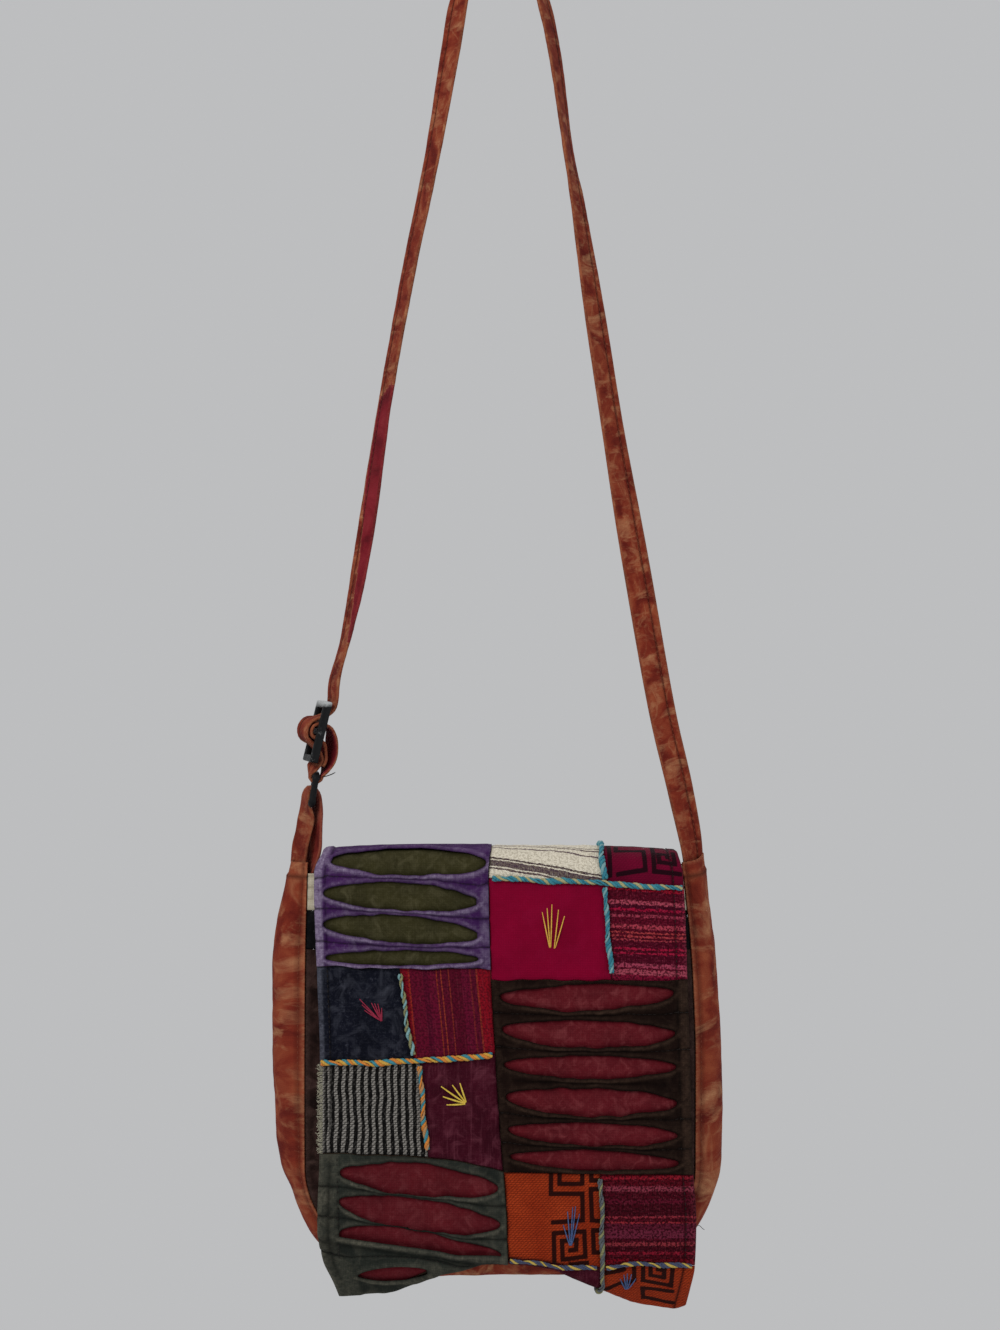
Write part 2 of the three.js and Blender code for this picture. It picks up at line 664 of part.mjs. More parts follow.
function addSlitPatch(patch) {
  const rows = slitRows(patch);
  const columns = SLIT_COLUMNS + 2;
  const shareOf = (i) => {
    if (patch.hemSlit) return i / columns;
    if (i === 0) return 0;
    if (i === columns) return 1;
    return THREE.MathUtils.lerp(patch.tips.left, patch.tips.right, (i - 1) / SLIT_COLUMNS);
  };
  const place = (i, j, side) => {
    const c = shareOf(i);
    const inSlit = i > 1 && i < columns - 1;
    const rise = inSlit ? rows[j].rise : 0;
    const s = rows[j].at(c);
    return onFlap(patchAcross(patch, c, s), s, (side ? SLIT_LAYER.to : SLIT_LAYER.from) + rise);
  };
  const isHole = (i, j) => rows[j].hole !== null && i >= rows[j].hole.from && i < rows[j].hole.to;
  addPiece(patch.name, clothWall(columns, rows.length - 1, place, isHole), patch.color);
}

function addUnderlay(patch) {
  const top = acrossJoint(patch.top);
  const bottom = acrossJoint(patch.bottom);
  let rows;
  if (patch.top === 'backSeam') {
    const front = ROOF_ROWS.filter((s) => s >= 0).map((s) => () => s);
    const lower = UNDERLAY_ROWS.purple.map((s) => () => s);
    rows = [...front, ...lower, (u) => bottom(u) - UNDERLAY_MARGIN];
  } else if (patch.hemSlit) {
    const hem = [ABOVE_CREASE, ...HEM_ROWS.slice(0, -3)].map((past) => (u) => creaseAt(u) + past);
    const doubled = (u) => lookUp(HEM, 'x', acrossFlap(u, FLAP_END.left), 'fold') - 2 * UNDERLAY_MARGIN;
    const last = (u) => Math.min(bottom(u) - UNDERLAY_MARGIN, doubled(u));
    rows = [(u) => top(u) + UNDERLAY_MARGIN, () => UNDERLAY_ROWS.green, ...hem, last];
  } else {
    rows = [0, 0.25, 0.5, 0.75, 1].map((share) => {
      return (u) => THREE.MathUtils.lerp(top(u) + UNDERLAY_MARGIN, bottom(u) - UNDERLAY_MARGIN, share);
    });
  }
  const columns = SLIT_COLUMNS + 2;
  const place = (i, j, side) => {
    return patchPoint(patch, i / columns, rows[j], side ? UNDERLAY_LAYER.to : UNDERLAY_LAYER.from);
  };
  // on the hem the underlay only backs the hanging corner
  const firstOnHem = 5;
  const isLeftOut = (i, j) => patch.hemSlit && j >= firstOnHem && i >= patch.hemSlit.to;
  addPiece(patch.underlay, clothWall(columns, rows.length - 1, place, isLeftOut), patch.underColor);
}

// Section of a cord or a bar with a given number of sides
function roundSection(radius, sides) {
  const corners = [];
  for (let k = 0; k < sides; k += 1) {
    const angle = 2 * Math.PI * k / sides;
    corners.push(new THREE.Vector2(radius * Math.cos(angle), radius * Math.sin(angle)));
  }
  return new THREE.Shape(corners);
}

function addCord(cord) {
  const points = [];
  if (cord.alongCrease) {
    const [from, to] = cord.alongCrease;
    const steps = Math.round((to - from) * FLAP_COLUMNS * 2);
    for (let k = 0; k <= steps; k += 1) {
      const u = THREE.MathUtils.lerp(from, to, k / steps);
      points.push(onFlap(u, creaseAt(u), CORD_CENTRE + CREASE_LIFT));
    }
  } else {
    cord.points.forEach(([u, s]) => points.push(onFlap(u, s, CORD_CENTRE)));
  }
  if (cord.toHem) {
    const [{ u }] = DOWN_JOINTS.orangeWine;
    CORD_HEM_ROWS.forEach((past) => points.push(onFlap(u, creaseAt(u) + past, CORD_CENTRE + CREASE_LIFT)));
  }
  const extrudePath = new THREE.CatmullRomCurve3(points);
  const steps = Math.max(points.length, Math.round(extrudePath.getLength() / CORD_STEP));
  const geometry = new THREE.ExtrudeGeometry(roundSection(CORD_RADIUS, CORD_SIDES), { steps, extrudePath });
  addPiece(cord.name, geometry, cord.color);
}

// The pouch

function halfDepth(z) {
  return lookUp(DEPTH, 'z', z, 'half');
}

// Where the front seam lies at a height: straight sides, then a round corner
function seamAt(side, z) {
  const straight = side < 0 ? LEFT_SEAM : lookUp(RIGHT_SEAM, 'z', z, 'x');
  const below = Math.max(0, CORNER_TOP - z);
  const inset = CORNER_RADIUS - Math.sqrt(Math.max(0, CORNER_RADIUS ** 2 - below ** 2));
  return straight - side * inset;
}

function panelFace(face, across, z, off) {
  const skew = face > 0 ? lookUp(SWELL, 'z', z, 'skew') : 0;
  const left = seamAt(-1, z) + SEAM_GAP;
  const right = seamAt(1, z) + skew - SEAM_GAP;
  const x = THREE.MathUtils.lerp(left, right, across);
  const reach = 1 - (2 * across - 1) ** 2;
  const lower = THREE.MathUtils.smoothstep(z, POUCH_BOTTOM, POUCH_BOTTOM + CROWN_FADE.bottom);
  const { from, to } = CROWN_FADE.top;
  const upper = face < 0 ? 1 : 1 - THREE.MathUtils.smoothstep(z, POUCH_TOP - to, POUCH_TOP - from);
  const crown = (face < 0 ? FRONT_CROWN : BACK_CROWN) * reach * lower * upper;
  return new THREE.Vector3(x, face * (halfDepth(z) + crown - off), z);
}

function addPanel(name, face, heights, color) {
  const columns = 6;
  const geometry = clothWall(columns, heights.length - 1, (i, j, side) => {
    return panelFace(face, i / columns, heights[j], side * PANEL_THICK);
  });
  addPiece(name, geometry, color);
}

// Heights that a panel's rows take between its top and bottom, closer together round the corners
function panelHeights(top, bottom) {
  const heights = [top];
  for (const row of DEPTH) {
    if (row.z < top - 8 && row.z > bottom + 8) heights.push(row.z);
  }
  if (bottom < CORNER_TOP) {
    const steps = 6;
    for (let k = 1; k <= steps; k += 1) {
      heights.push(CORNER_TOP - (CORNER_RADIUS - SEAM_GAP) * Math.sin(k / steps * Math.PI / 2));
    }
    return [...new Set(heights.map((z) => Math.round(z * 10) / 10))].sort((a, b) => b - a);
  }
  return [...heights, bottom];
}

// Stations of the gusset's front seam from the left top round the bottom to the right top
function gussetStations() {
  const sideHeights = SWELL.filter((row) => row.z > CORNER_TOP).map((row) => row.z);
  const cornerSteps = 6;
  const bottomSteps = 5;
  const stations = [];
  sideHeights.forEach((z) => stations.push({ x: seamAt(-1, z), z, nx: -1, nz: 0 }));
  const corner = (side, k) => {
    const angle = k / cornerSteps * Math.PI / 2;
    const centre = side * (-LEFT_SEAM - CORNER_RADIUS);
    stations.push({
      x: centre + side * CORNER_RADIUS * Math.cos(angle),
      z: CORNER_TOP - CORNER_RADIUS * Math.sin(angle),
      nx: side * Math.cos(angle),
      nz: -Math.sin(angle),
    });
  };
  for (let k = 0; k <= cornerSteps; k += 1) corner(-1, k);
  const bottomHalf = -LEFT_SEAM - CORNER_RADIUS;
  for (let k = 1; k < bottomSteps; k += 1) {
    stations.push({ x: bottomHalf * (2 * k / bottomSteps - 1), z: POUCH_BOTTOM, nx: 0, nz: -1 });
  }
  for (let k = cornerSteps; k >= 0; k -= 1) corner(1, k);
  [...sideHeights].reverse().forEach((z) => stations.push({ x: seamAt(1, z), z, nx: 1, nz: 0 }));
  return stations;
}

// The gusset's outer face at a station; w runs from -1 at the front seam to 1 at the back seam
function gussetFace(station, w) {
  const left = lookUp(SWELL, 'z', station.z, 'left');
  const right = lookUp(SWELL, 'z', station.z, 'right');
  const swell = station.nx < 0 ? left : right;
  const skew = station.nx > 0 ? lookUp(SWELL, 'z', station.z, 'skew') * (w + 1) / 2 : 0;
  const out = SEAM_GAP + swell * (1 - Math.abs(w) ** SWELL_POWER) + skew;
  const y = w * halfDepth(station.z);
  return new THREE.Vector3(station.x + station.nx * out, y, station.z + station.nz * out);
}

function addGusset() {
  const stations = gussetStations();
  const last = stations.length - 1;
  const place = (i, j, side) => {
    const w = Math.sin((2 * i / GUSSET_COLUMNS - 1) * Math.PI / 2);
    const here = gussetFace(stations[j], w);
    const nudge = 0.02;
    const ahead = gussetFace(stations[j], Math.min(1, w + nudge));
    const behind = gussetFace(stations[j], Math.max(-1, w - nudge));
    const along = gussetFace(stations[Math.min(last, j + 1)], w);
    along.sub(gussetFace(stations[Math.max(0, j - 1)], w));
    const inward = ahead.sub(behind).cross(along).normalize();
    return here.addScaledVector(inward, side * GUSSET_THICK);
  };
  addPiece('gusset', clothWall(GUSSET_COLUMNS, last, place), RUST);
}

// The strap and its hardware

// A strip of strap along rows of x, z and turn
function strapStrip(rows) {
  const curve = new THREE.CatmullRomCurve3(rows.map((row) => new THREE.Vector3(row.x, 0, row.z)));
  const segments = rows.length - 1;
  const stations = segments * STRAP_STEPS;
  return clothWall(1, stations, (i, j, side) => {
    const t = j / stations;
    const first = Math.min(segments - 1, Math.floor(j / STRAP_STEPS));
    const turn = radians(THREE.MathUtils.lerp(rows[first].turn, rows[first + 1].turn, t * segments - first));
    const along = curve.getTangent(t);
    const aside = new THREE.Vector3(along.z, 0, -along.x);
    const across = aside.multiplyScalar(Math.cos(turn)).add(new THREE.Vector3(0, Math.sin(turn), 0));
    const through = across.clone().cross(along).normalize();
    const point = curve.getPoint(t)
      .addScaledVector(across, (i - 0.5) * STRAP_WIDE)
      .addScaledVector(through, (side - 0.5) * STRAP_THICK);
    return turnedHardware(point);
  });
}

// A point of the left strap or its hardware after the turn about the upright line
function turnedHardware(point) {
  if (point.x > 0) return point;
  const centre = new THREE.Vector3(HARDWARE_TURN.x, 0, 0);
  return point.sub(centre).applyAxisAngle(UPRIGHT, hardwareTurn(point.z)).add(centre);
}

function hardwareTurn(height) {
  return radians(lookUp(HARDWARE_TURN.heights, 'z', height, 'degrees'));
}

// A point given in the axes of the slider or ring
function inPlace(piece, across, along) {
  const lean = radians(piece.lean);
  return {
    x: piece.x + across * Math.cos(lean) + along * Math.sin(lean),
    z: piece.z - across * Math.sin(lean) + along * Math.cos(lean),
  };
}

// Half a turn around one of the ring's bars, from one side of it to the other
function aroundBar(bar, from, to, rise) {
  const steps = 6;
  return Array.from({ length: steps + 1 }, (_, k) => {
    const angle = radians(THREE.MathUtils.lerp(from, to, k / steps));
    const x = bar.x + WRAP.radius * Math.cos(angle);
    return { x, z: bar.z + rise * Math.sin(angle), turn: EDGE_ON };
  });
}

function ringBar(side) {
  return inPlace(RING, 0, side * (RING.long - RING.bar) / 2);
}

function addStrap() {
  const arc = TOP_ARC.turns.map((turn, k) => {
    const angle = radians(THREE.MathUtils.lerp(TOP_ARC.from, TOP_ARC.to, k / (TOP_ARC.turns.length - 1)));
    const centreZ = STRAP_THICK / 2 - TOP_ARC.radius;
    const x = TOP_ARC.x + TOP_ARC.radius * Math.cos(angle);
    return { x, z: centreZ + TOP_ARC.radius * Math.sin(angle), turn };
  });
  const throughSlider = (route) => route.map(({ across, along, turn }) => {
    return { ...inPlace(SLIDER, across, along), turn };
  });
  const rows = [
    ...RIGHT_STRAND,
    ...arc,
    ...LEFT_STRAND,
    ...throughSlider(SLIDER_IN),
    ...aroundBar(ringBar(1), 180, 360, WRAP.radius),
    ...throughSlider(SLIDER_OUT),
  ];
  addPiece('strap', strapStrip(rows), RUST);
}

function addRingTab() {
  const loop = aroundBar(ringBar(-1), 180, 0, WRAP.tabRise);
  const rows = [...TAB_OUTER_LEG, ...loop, ...TAB_INNER_LEG];
  addPiece('ring_tab', strapStrip(rows), RUST);
}

function roundedFrame(wide, long, radius) {
  const shape = new THREE.Shape();
  const x = wide / 2;
  const y = long / 2;
  shape.moveTo(-x + radius, -y);
  shape.lineTo(x - radius, -y);
  shape.quadraticCurveTo(x, -y, x, -y + radius);
  shape.lineTo(x, y - radius);
  shape.quadraticCurveTo(x, y, x - radius, y);
  shape.lineTo(-x + radius, y);
  shape.quadraticCurveTo(-x, y, -x, y - radius);
  shape.lineTo(-x, -y + radius);
  shape.quadraticCurveTo(-x, -y, -x + radius, -y);
  return shape;
}

function cutWindow(shape, wide, low, high) {
  const window = new THREE.Path();
  window.moveTo(-wide / 2, low);
  window.lineTo(-wide / 2, high);
  window.lineTo(wide / 2, high);
  window.lineTo(wide / 2, low);
  window.lineTo(-wide / 2, low);
  shape.holes.push(window);
}

// A flat frame stood edge on to the viewer and leaned in the XZ plane
function addFrame(name, piece, shape) {
  const depth = piece.thick;
  const geometry = new THREE.ExtrudeGeometry(shape, { depth, bevelEnabled: false, curveSegments: 3 });
  geometry.translate(0, 0, -piece.thick / 2);
  const mesh = addPiece(name, geometry, BLACK, 'metal');
  const lean = radians(piece.lean);
  const wideAxis = new THREE.Vector3(0, 1, 0);
  const longAxis = new THREE.Vector3(Math.sin(lean), 0, Math.cos(lean));
  mesh.quaternion.setFromRotationMatrix(
    new THREE.Matrix4().makeBasis(wideAxis, longAxis, wideAxis.clone().cross(longAxis)),
  );
  mesh.position.copy(turnedHardware(new THREE.Vector3(piece.x, 0, piece.z)));
  mesh.rotateOnWorldAxis(UPRIGHT, hardwareTurn(piece.z));
}

function addSlider() {
  const shape = roundedFrame(SLIDER.wide, SLIDER.long, FRAME_CORNER);
  const inside = SLIDER.wide - 2 * SLIDER.rail;
  const end = SLIDER.long / 2 - SLIDER.bar;
  cutWindow(shape, inside, SLIDER.middleBar / 2, end);
  cutWindow(shape, inside, -end, -SLIDER.middleBar / 2);
  addFrame('slider', SLIDER, shape);
}

function addRing() {
  const shape = roundedFrame(RING.wide, RING.long, FRAME_CORNER);
  const end = RING.long / 2 - RING.bar;
  cutWindow(shape, RING.wide - 2 * RING.bar, -end, end);
  addFrame('ring', RING, shape);
}

addFlapBase();
PLAIN_PATCHES.forEach(addPlainPatch);
SLIT_PATCHES.forEach(addSlitPatch);
SLIT_PATCHES.forEach(addUnderlay);
CORDS.forEach(addCord);
addPanel('front_top_band', -1, panelHeights(POUCH_TOP, BAND_BOTTOM), CREAM);
addPanel('zip', -1, panelHeights(BAND_BOTTOM - SEAM_GAP, ZIP_BOTTOM), BLACK);
addPanel('front_panel', -1, panelHeights(ZIP_BOTTOM - SEAM_GAP, POUCH_BOTTOM), BROWN);
addPanel('back_panel', 1, panelHeights(BACK_TOP, POUCH_BOTTOM), RUST);
addGusset();
addStrap();
addSlider();
addRing();
addRingTab();

export default bag;
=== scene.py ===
import bpy
import bmesh
from bisect import bisect_right
from math import cos, sin, pi, radians, sqrt, exp
from mathutils import Matrix, Vector, noise


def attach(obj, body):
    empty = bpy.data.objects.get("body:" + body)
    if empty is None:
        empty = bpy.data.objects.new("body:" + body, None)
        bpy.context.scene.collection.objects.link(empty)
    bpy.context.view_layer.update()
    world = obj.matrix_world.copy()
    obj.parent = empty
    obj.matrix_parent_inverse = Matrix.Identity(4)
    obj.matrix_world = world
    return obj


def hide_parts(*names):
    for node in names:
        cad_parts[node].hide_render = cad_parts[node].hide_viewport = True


# Patchwork crossbody bag hanging from its strap. Tables below are in millimetres, as on the cutting
# bench, and metres() turns a finished point into Blender units.
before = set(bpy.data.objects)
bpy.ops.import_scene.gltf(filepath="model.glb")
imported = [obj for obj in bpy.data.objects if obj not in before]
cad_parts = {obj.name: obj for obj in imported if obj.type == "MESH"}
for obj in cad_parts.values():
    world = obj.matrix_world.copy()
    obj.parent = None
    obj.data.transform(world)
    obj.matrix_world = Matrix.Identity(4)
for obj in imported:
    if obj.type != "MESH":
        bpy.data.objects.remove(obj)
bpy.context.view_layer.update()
scene = bpy.context.scene
print("frame loaded:", len(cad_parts), "nodes")


def metres(point):
    return Vector(point) * 0.001


def mix(a, b, share):
    return a + (b - a) * share


def clamp(value, low, high):
    return max(low, min(high, value))


def easeStep(value, low, high):
    share = clamp((value - low) / (high - low), 0, 1)
    return share * share * (3 - 2 * share)


def bell(distance, width):
    return exp(-(distance / width) ** 2)


# value of a table's column at a place in its first column, on a smooth line through the rows
def lookUp(rows, at, column=1):
    if at <= rows[0][0] or len(rows) == 1:
        return rows[0][column]
    if at >= rows[-1][0]:
        return rows[-1][column]
    i = bisect_right([row[0] for row in rows], at) - 1
    x0, x1 = rows[i][0], rows[i + 1][0]
    y0, y1 = rows[i][column], rows[i + 1][column]
    slope = (y1 - y0) / (x1 - x0)

    def bend(k):
        if k <= 0 or k >= len(rows) - 1:
            return slope
        before = (rows[k][column] - rows[k - 1][column]) / (rows[k][0] - rows[k - 1][0])
        after = (rows[k + 1][column] - rows[k][column]) / (rows[k + 1][0] - rows[k][0])
        return 0 if before * after <= 0 else 2 * before * after / (before + after)

    t = (at - x0) / (x1 - x0)
    m0, m1 = bend(i) * (x1 - x0), bend(i + 1) * (x1 - x0)
    return ((2 * t ** 3 - 3 * t ** 2 + 1) * y0 + (t ** 3 - 2 * t ** 2 + t) * m0
            + (3 * t ** 2 - 2 * t ** 3) * y1 + (t ** 3 - t ** 2) * m1)


# points of a smooth line through a few places, each a tuple of numbers; bends stay tight where places
# are close
def smoothLine(places, steps):
    ends = [tuple(2 * a - b for a, b in zip(places[0], places[1])),
            tuple(2 * a - b for a, b in zip(places[-1], places[-2]))]
    rows = [ends[0], *places, ends[1]]
    line = []
    for i in range(1, len(rows) - 2):
        p0, p1, p2, p3 = rows[i - 1:i + 3]
        d0, d1, d2 = (max(1e-4, (Vector(b[:2]) - Vector(a[:2])).length) ** 0.5
                      for a, b in ((p0, p1), (p1, p2), (p2, p3)))
        for n in range(steps):
            t = n / steps
            point = []
            for a, b, c, d in zip(p0, p1, p2, p3):
                m1 = d1 * ((b - a) / d0 - (c - a) / (d0 + d1) + (c - b) / d1)
                m2 = d1 * ((c - b) / d1 - (d - b) / (d1 + d2) + (d - c) / d2)
                point.append(b + m1 * t + (3 * c - 3 * b - 2 * m1 - m2) * t * t
                             + (2 * b - 2 * c + m1 + m2) * t ** 3)
            line.append(tuple(point))
    line.append(tuple(places[-1]))
    return line


# a soft lump between -1 and 1 that is the same on every run
def lump(x, y, z, size):
    return noise.noise(Vector((x, y, z)) / size)


# Camera: level with the middle of the strap and square to the bag
view = dict(distance=1238, height=-507, frameHeight=931, plane=-38)
camera = bpy.data.cameras.new("camera")
camera.lens = 36 * (view["distance"] + view["plane"]) / view["frameHeight"]
cameraObject = bpy.data.objects.new("camera", camera)
cameraObject.location = metres((0, -view["distance"], view["height"]))
cameraObject.rotation_euler = (radians(90), 0, 0)
scene.collection.objects.link(cameraObject)
scene.camera = cameraObject

# Studio: a large soft key from the upper left, a weak fill from the right and a pale room
scene.view_settings.view_transform = "Standard"
lamps = dict(
    key=dict(at=(-1050, -1500, 650), size=900, power=17, colour=(1.0, 0.97, 0.93)),
    fill=dict(at=(1300, -1300, -500), size=1300, power=4, colour=(0.93, 0.96, 1.0)),
    back=dict(at=(300, 1500, 300), size=1500, power=8, colour=(1.0, 1.0, 1.0)),
)
for lampName, lamp in lamps.items():
    light = bpy.data.lights.new(lampName, "AREA")
    light.shape = "DISK"
    light.size = lamp["size"] * 0.001
    light.energy = lamp["power"]
    light.color = lamp["colour"]
    lightObject = bpy.data.objects.new(lampName, light)
    lightObject.location = metres(lamp["at"])
    aim = metres((0, 0, -700)) - lightObject.location
    lightObject.rotation_euler = aim.to_track_quat("-Z", "Y").to_euler()
    scene.collection.objects.link(lightObject)
world = bpy.data.worlds.new("room")
scene.world = world
world.use_nodes = True
world.node_tree.nodes["Background"].inputs["Color"].default_value = (0.60, 0.605, 0.615, 1)
world.node_tree.nodes["Background"].inputs["Strength"].default_value = 0.85
print("camera and studio set")


# Materials

def hexColour(code):
    def linear(part):
        value = int(part, 16) / 255
        return value / 12.92 if value <= 0.04045 else ((value + 0.055) / 1.055) ** 2.4
    return (linear(code[1:3]), linear(code[3:5]), linear(code[5:7]), 1.0)


# adds one node: settings name its sockets or its own fields, links name the sockets that something feeds
def addNode(tree, kind, settings=None, links=None):
    node = tree.nodes.new(kind)
    for key, value in (settings or {}).items():
        if isinstance(key, str) and hasattr(node, key):
            setattr(node, key, value)
        else:
            node.inputs[key].default_value = value
    for key, socket in (links or {}).items():
        tree.links.new(socket, node.inputs[key])
    return node


def newMaterial(name):
    material = bpy.data.materials.new(name)
    material.use_nodes = True
    tree = material.node_tree
    return material, tree, tree.nodes["Principled BSDF"]


def rampStops(node, stops):
    ramp = node.color_ramp
    while len(ramp.elements) < len(stops):
        ramp.elements.new(0.5)
    for element, (place, code) in zip(ramp.elements, stops):
        element.position = place
        element.color = hexColour(code)


# wave nodes repeat every 2 pi / 20 of their own units, so this gives a thread spacing in millimetres
def waveScale(spacing):
    return 2 * pi / 20 / (spacing * 0.001)


# noise nodes make lumps about one unit across
def noiseScale(size):
    return 1 / (size * 0.001)


# the start of a cloth's material: its flat UV map, and the maps of the piece that it reads
def clothMaterial(name, *maps):
    material, tree, shader = newMaterial(name)
    cloth = addNode(tree, "ShaderNodeUVMap", {"uv_map": "cloth"}).outputs["UV"]
    read = [addNode(tree, "ShaderNodeAttribute", {"attribute_name": key}).outputs["Fac"] for key in maps]
    return material, tree, shader, cloth, read


# two sets of threads, with spacings in millimetres, at right angles or with the first one slanting as in a
# twill; gives where they cross, and the first set
def threadGrid(tree, cloth, spacings, uneven, slanting=False, detail=2.0):
    sets = []
    for direction, spacing, wavy in zip(("DIAGONAL" if slanting else "X", "Y"), spacings, uneven):
        settings = {"bands_direction": direction, "Scale": waveScale(spacing), "Distortion": wavy,
                    "Detail": 2.0, "Detail Scale": detail}
        sets.append(addNode(tree, "ShaderNodeTexWave", settings, {"Vector": cloth}).outputs["Fac"])
    crossing = addNode(tree, "ShaderNodeMath", {"operation": "MULTIPLY"}, dict(enumerate(sets)))
    return crossing.outputs[0], sets[0]


# the end of a cloth's material: its colour, a bump with its depth in millimetres, and a dull, faintly
# furry face
def finishCloth(tree, shader, colour, height, strength, deep, rough=0.9, gloss=0.06):
    bump = addNode(tree, "ShaderNodeBump", {"Strength": strength, "Distance": deep * 0.001},
                   {"Height": height.outputs[0]})
    tree.links.new(colour, shader.inputs["Base Color"])
    tree.links.new(bump.outputs["Normal"], shader.inputs["Normal"])
    shader.inputs["Roughness"].default_value = rough
    shader.inputs["Specular IOR Level"].default_value = gloss
    shader.inputs["Sheen Weight"].default_value = 0.02


# Hand-woven cotton, dyed and worn: dull, with uneven dye, a thread grid and pale rubbed crests.
# Real threads are about 0.5 mm apart; look["thread"] draws them coarser so that they show.
def wornCotton(name, look):
    material, tree, shader, cloth, (wear, shade) = clothMaterial(name, "wear", "shade")
    clouds = addNode(tree, "ShaderNodeTexNoise", {"Scale": noiseScale(look["cloud"]), "Detail": 6.0,
                                                  "Roughness": 0.62}, {"Vector": cloth}).outputs["Fac"]
    flecks = addNode(tree, "ShaderNodeTexNoise", {"Scale": noiseScale(look["fleck"]), "Detail": 7.0,
                                                  "Roughness": 0.72}, {"Vector": cloth}).outputs["Fac"]
    weave, _ = threadGrid(tree, cloth, (look["thread"], look["thread"]), (1.4, 1.4))
    dye = addNode(tree, "ShaderNodeValToRGB", links={"Fac": clouds})
    rampStops(dye, [(0.34, look["dark"]), (0.66, look["base"])])
    # rubbed places: crests from the wear map, and loose flecks all over
    rubbed = addNode(tree, "ShaderNodeMapRange", {"From Min": 0.25, "From Max": 0.7}, {"Value": flecks})
    onCrest = addNode(tree, "ShaderNodeMath", {"operation": "MULTIPLY"}, {0: rubbed.outputs[0], 1: wear})
    haze = addNode(tree, "ShaderNodeMapRange",
                   {"From Min": 0.38, "From Max": 0.66, "To Min": 0.25, "To Max": 1.0},
                   {"Value": clouds})
    specks = addNode(tree, "ShaderNodeMapRange",
                     {"From Min": 0.5, "From Max": 0.74, "To Max": 1.5 * look["dust"]},
                     {"Value": flecks})
    dusty = addNode(tree, "ShaderNodeMath", {"operation": "MULTIPLY"},
                    {0: haze.outputs[0], 1: specks.outputs[0]})
    # streaks along the warp, where a line of threads took less dye
    drawn = addNode(tree, "ShaderNodeMapping", {"Scale": (1.0, 0.07, 1.0)}, {"Vector": cloth})
    threads = addNode(tree, "ShaderNodeTexNoise", {"Scale": noiseScale(2.4), "Detail": 5.0, "Roughness": 0.7},
                      {"Vector": drawn.outputs[0]})
    streaks = addNode(tree, "ShaderNodeMapRange",
                      {"From Min": 0.52, "From Max": 0.78, "To Max": look["streak"]},
                      {"Value": threads.outputs["Fac"]})
    # washed places, soft and a few millimetres across
    washed = addNode(tree, "ShaderNodeTexNoise",
                     {"Scale": noiseScale(look["wash"]), "Detail": 4.0, "Roughness": 0.6,
                      "Distortion": 0.9}, {"Vector": cloth})
    mist = addNode(tree, "ShaderNodeMapRange", {"From Min": 0.5, "From Max": 0.74, "To Max": look["mist"]},
                   {"Value": washed.outputs["Fac"]})
    dusty = addNode(tree, "ShaderNodeMath", {"operation": "MAXIMUM"},
                    {0: dusty.outputs[0], 1: mist.outputs[0]})
    faded = addNode(tree, "ShaderNodeMath", {"operation": "ADD", "use_clamp": True},
                    {0: onCrest.outputs[0], 1: dusty.outputs[0]})
    faded = addNode(tree, "ShaderNodeMath", {"operation": "ADD", "use_clamp": True},
                    {0: faded.outputs[0], 1: streaks.outputs[0]})
    colour = addNode(tree, "ShaderNodeMix", {"data_type": "RGBA", 7: hexColour(look["worn"])},
                     {0: faded.outputs[0], 6: dye.outputs["Color"]}).outputs[2]
    # gaps between threads are darker, and the shade map paints shade into sewn grooves, along lens edges and
    # under overhanging lips
    gaps = addNode(tree, "ShaderNodeMapRange", {"From Max": 0.35, "To Min": look["gap"], "To Max": 0.0},
                   {"Value": weave})
    paintedShade = addNode(tree, "ShaderNodeMath", {"operation": "MULTIPLY", 1: 0.8}, {0: shade})
    darker = addNode(tree, "ShaderNodeMath", {"operation": "MAXIMUM"},
                     {0: gaps.outputs[0], 1: paintedShade.outputs[0]})
    colour = addNode(tree, "ShaderNodeMix", {"data_type": "RGBA", 7: hexColour(look["deep"])},
                     {0: darker.outputs[0], 6: colour}).outputs[2]
    height = addNode(tree, "ShaderNodeMath", {"operation": "MULTIPLY_ADD", 1: 0.7}, {0: weave, 2: flecks})
    finishCloth(tree, shader, colour, height, strength=0.5, deep=0.5, rough=0.92)
    shader.inputs["Sheen Roughness"].default_value = 0.45
    shader.inputs["Sheen Tint"].default_value = hexColour(look["worn"])
    return material


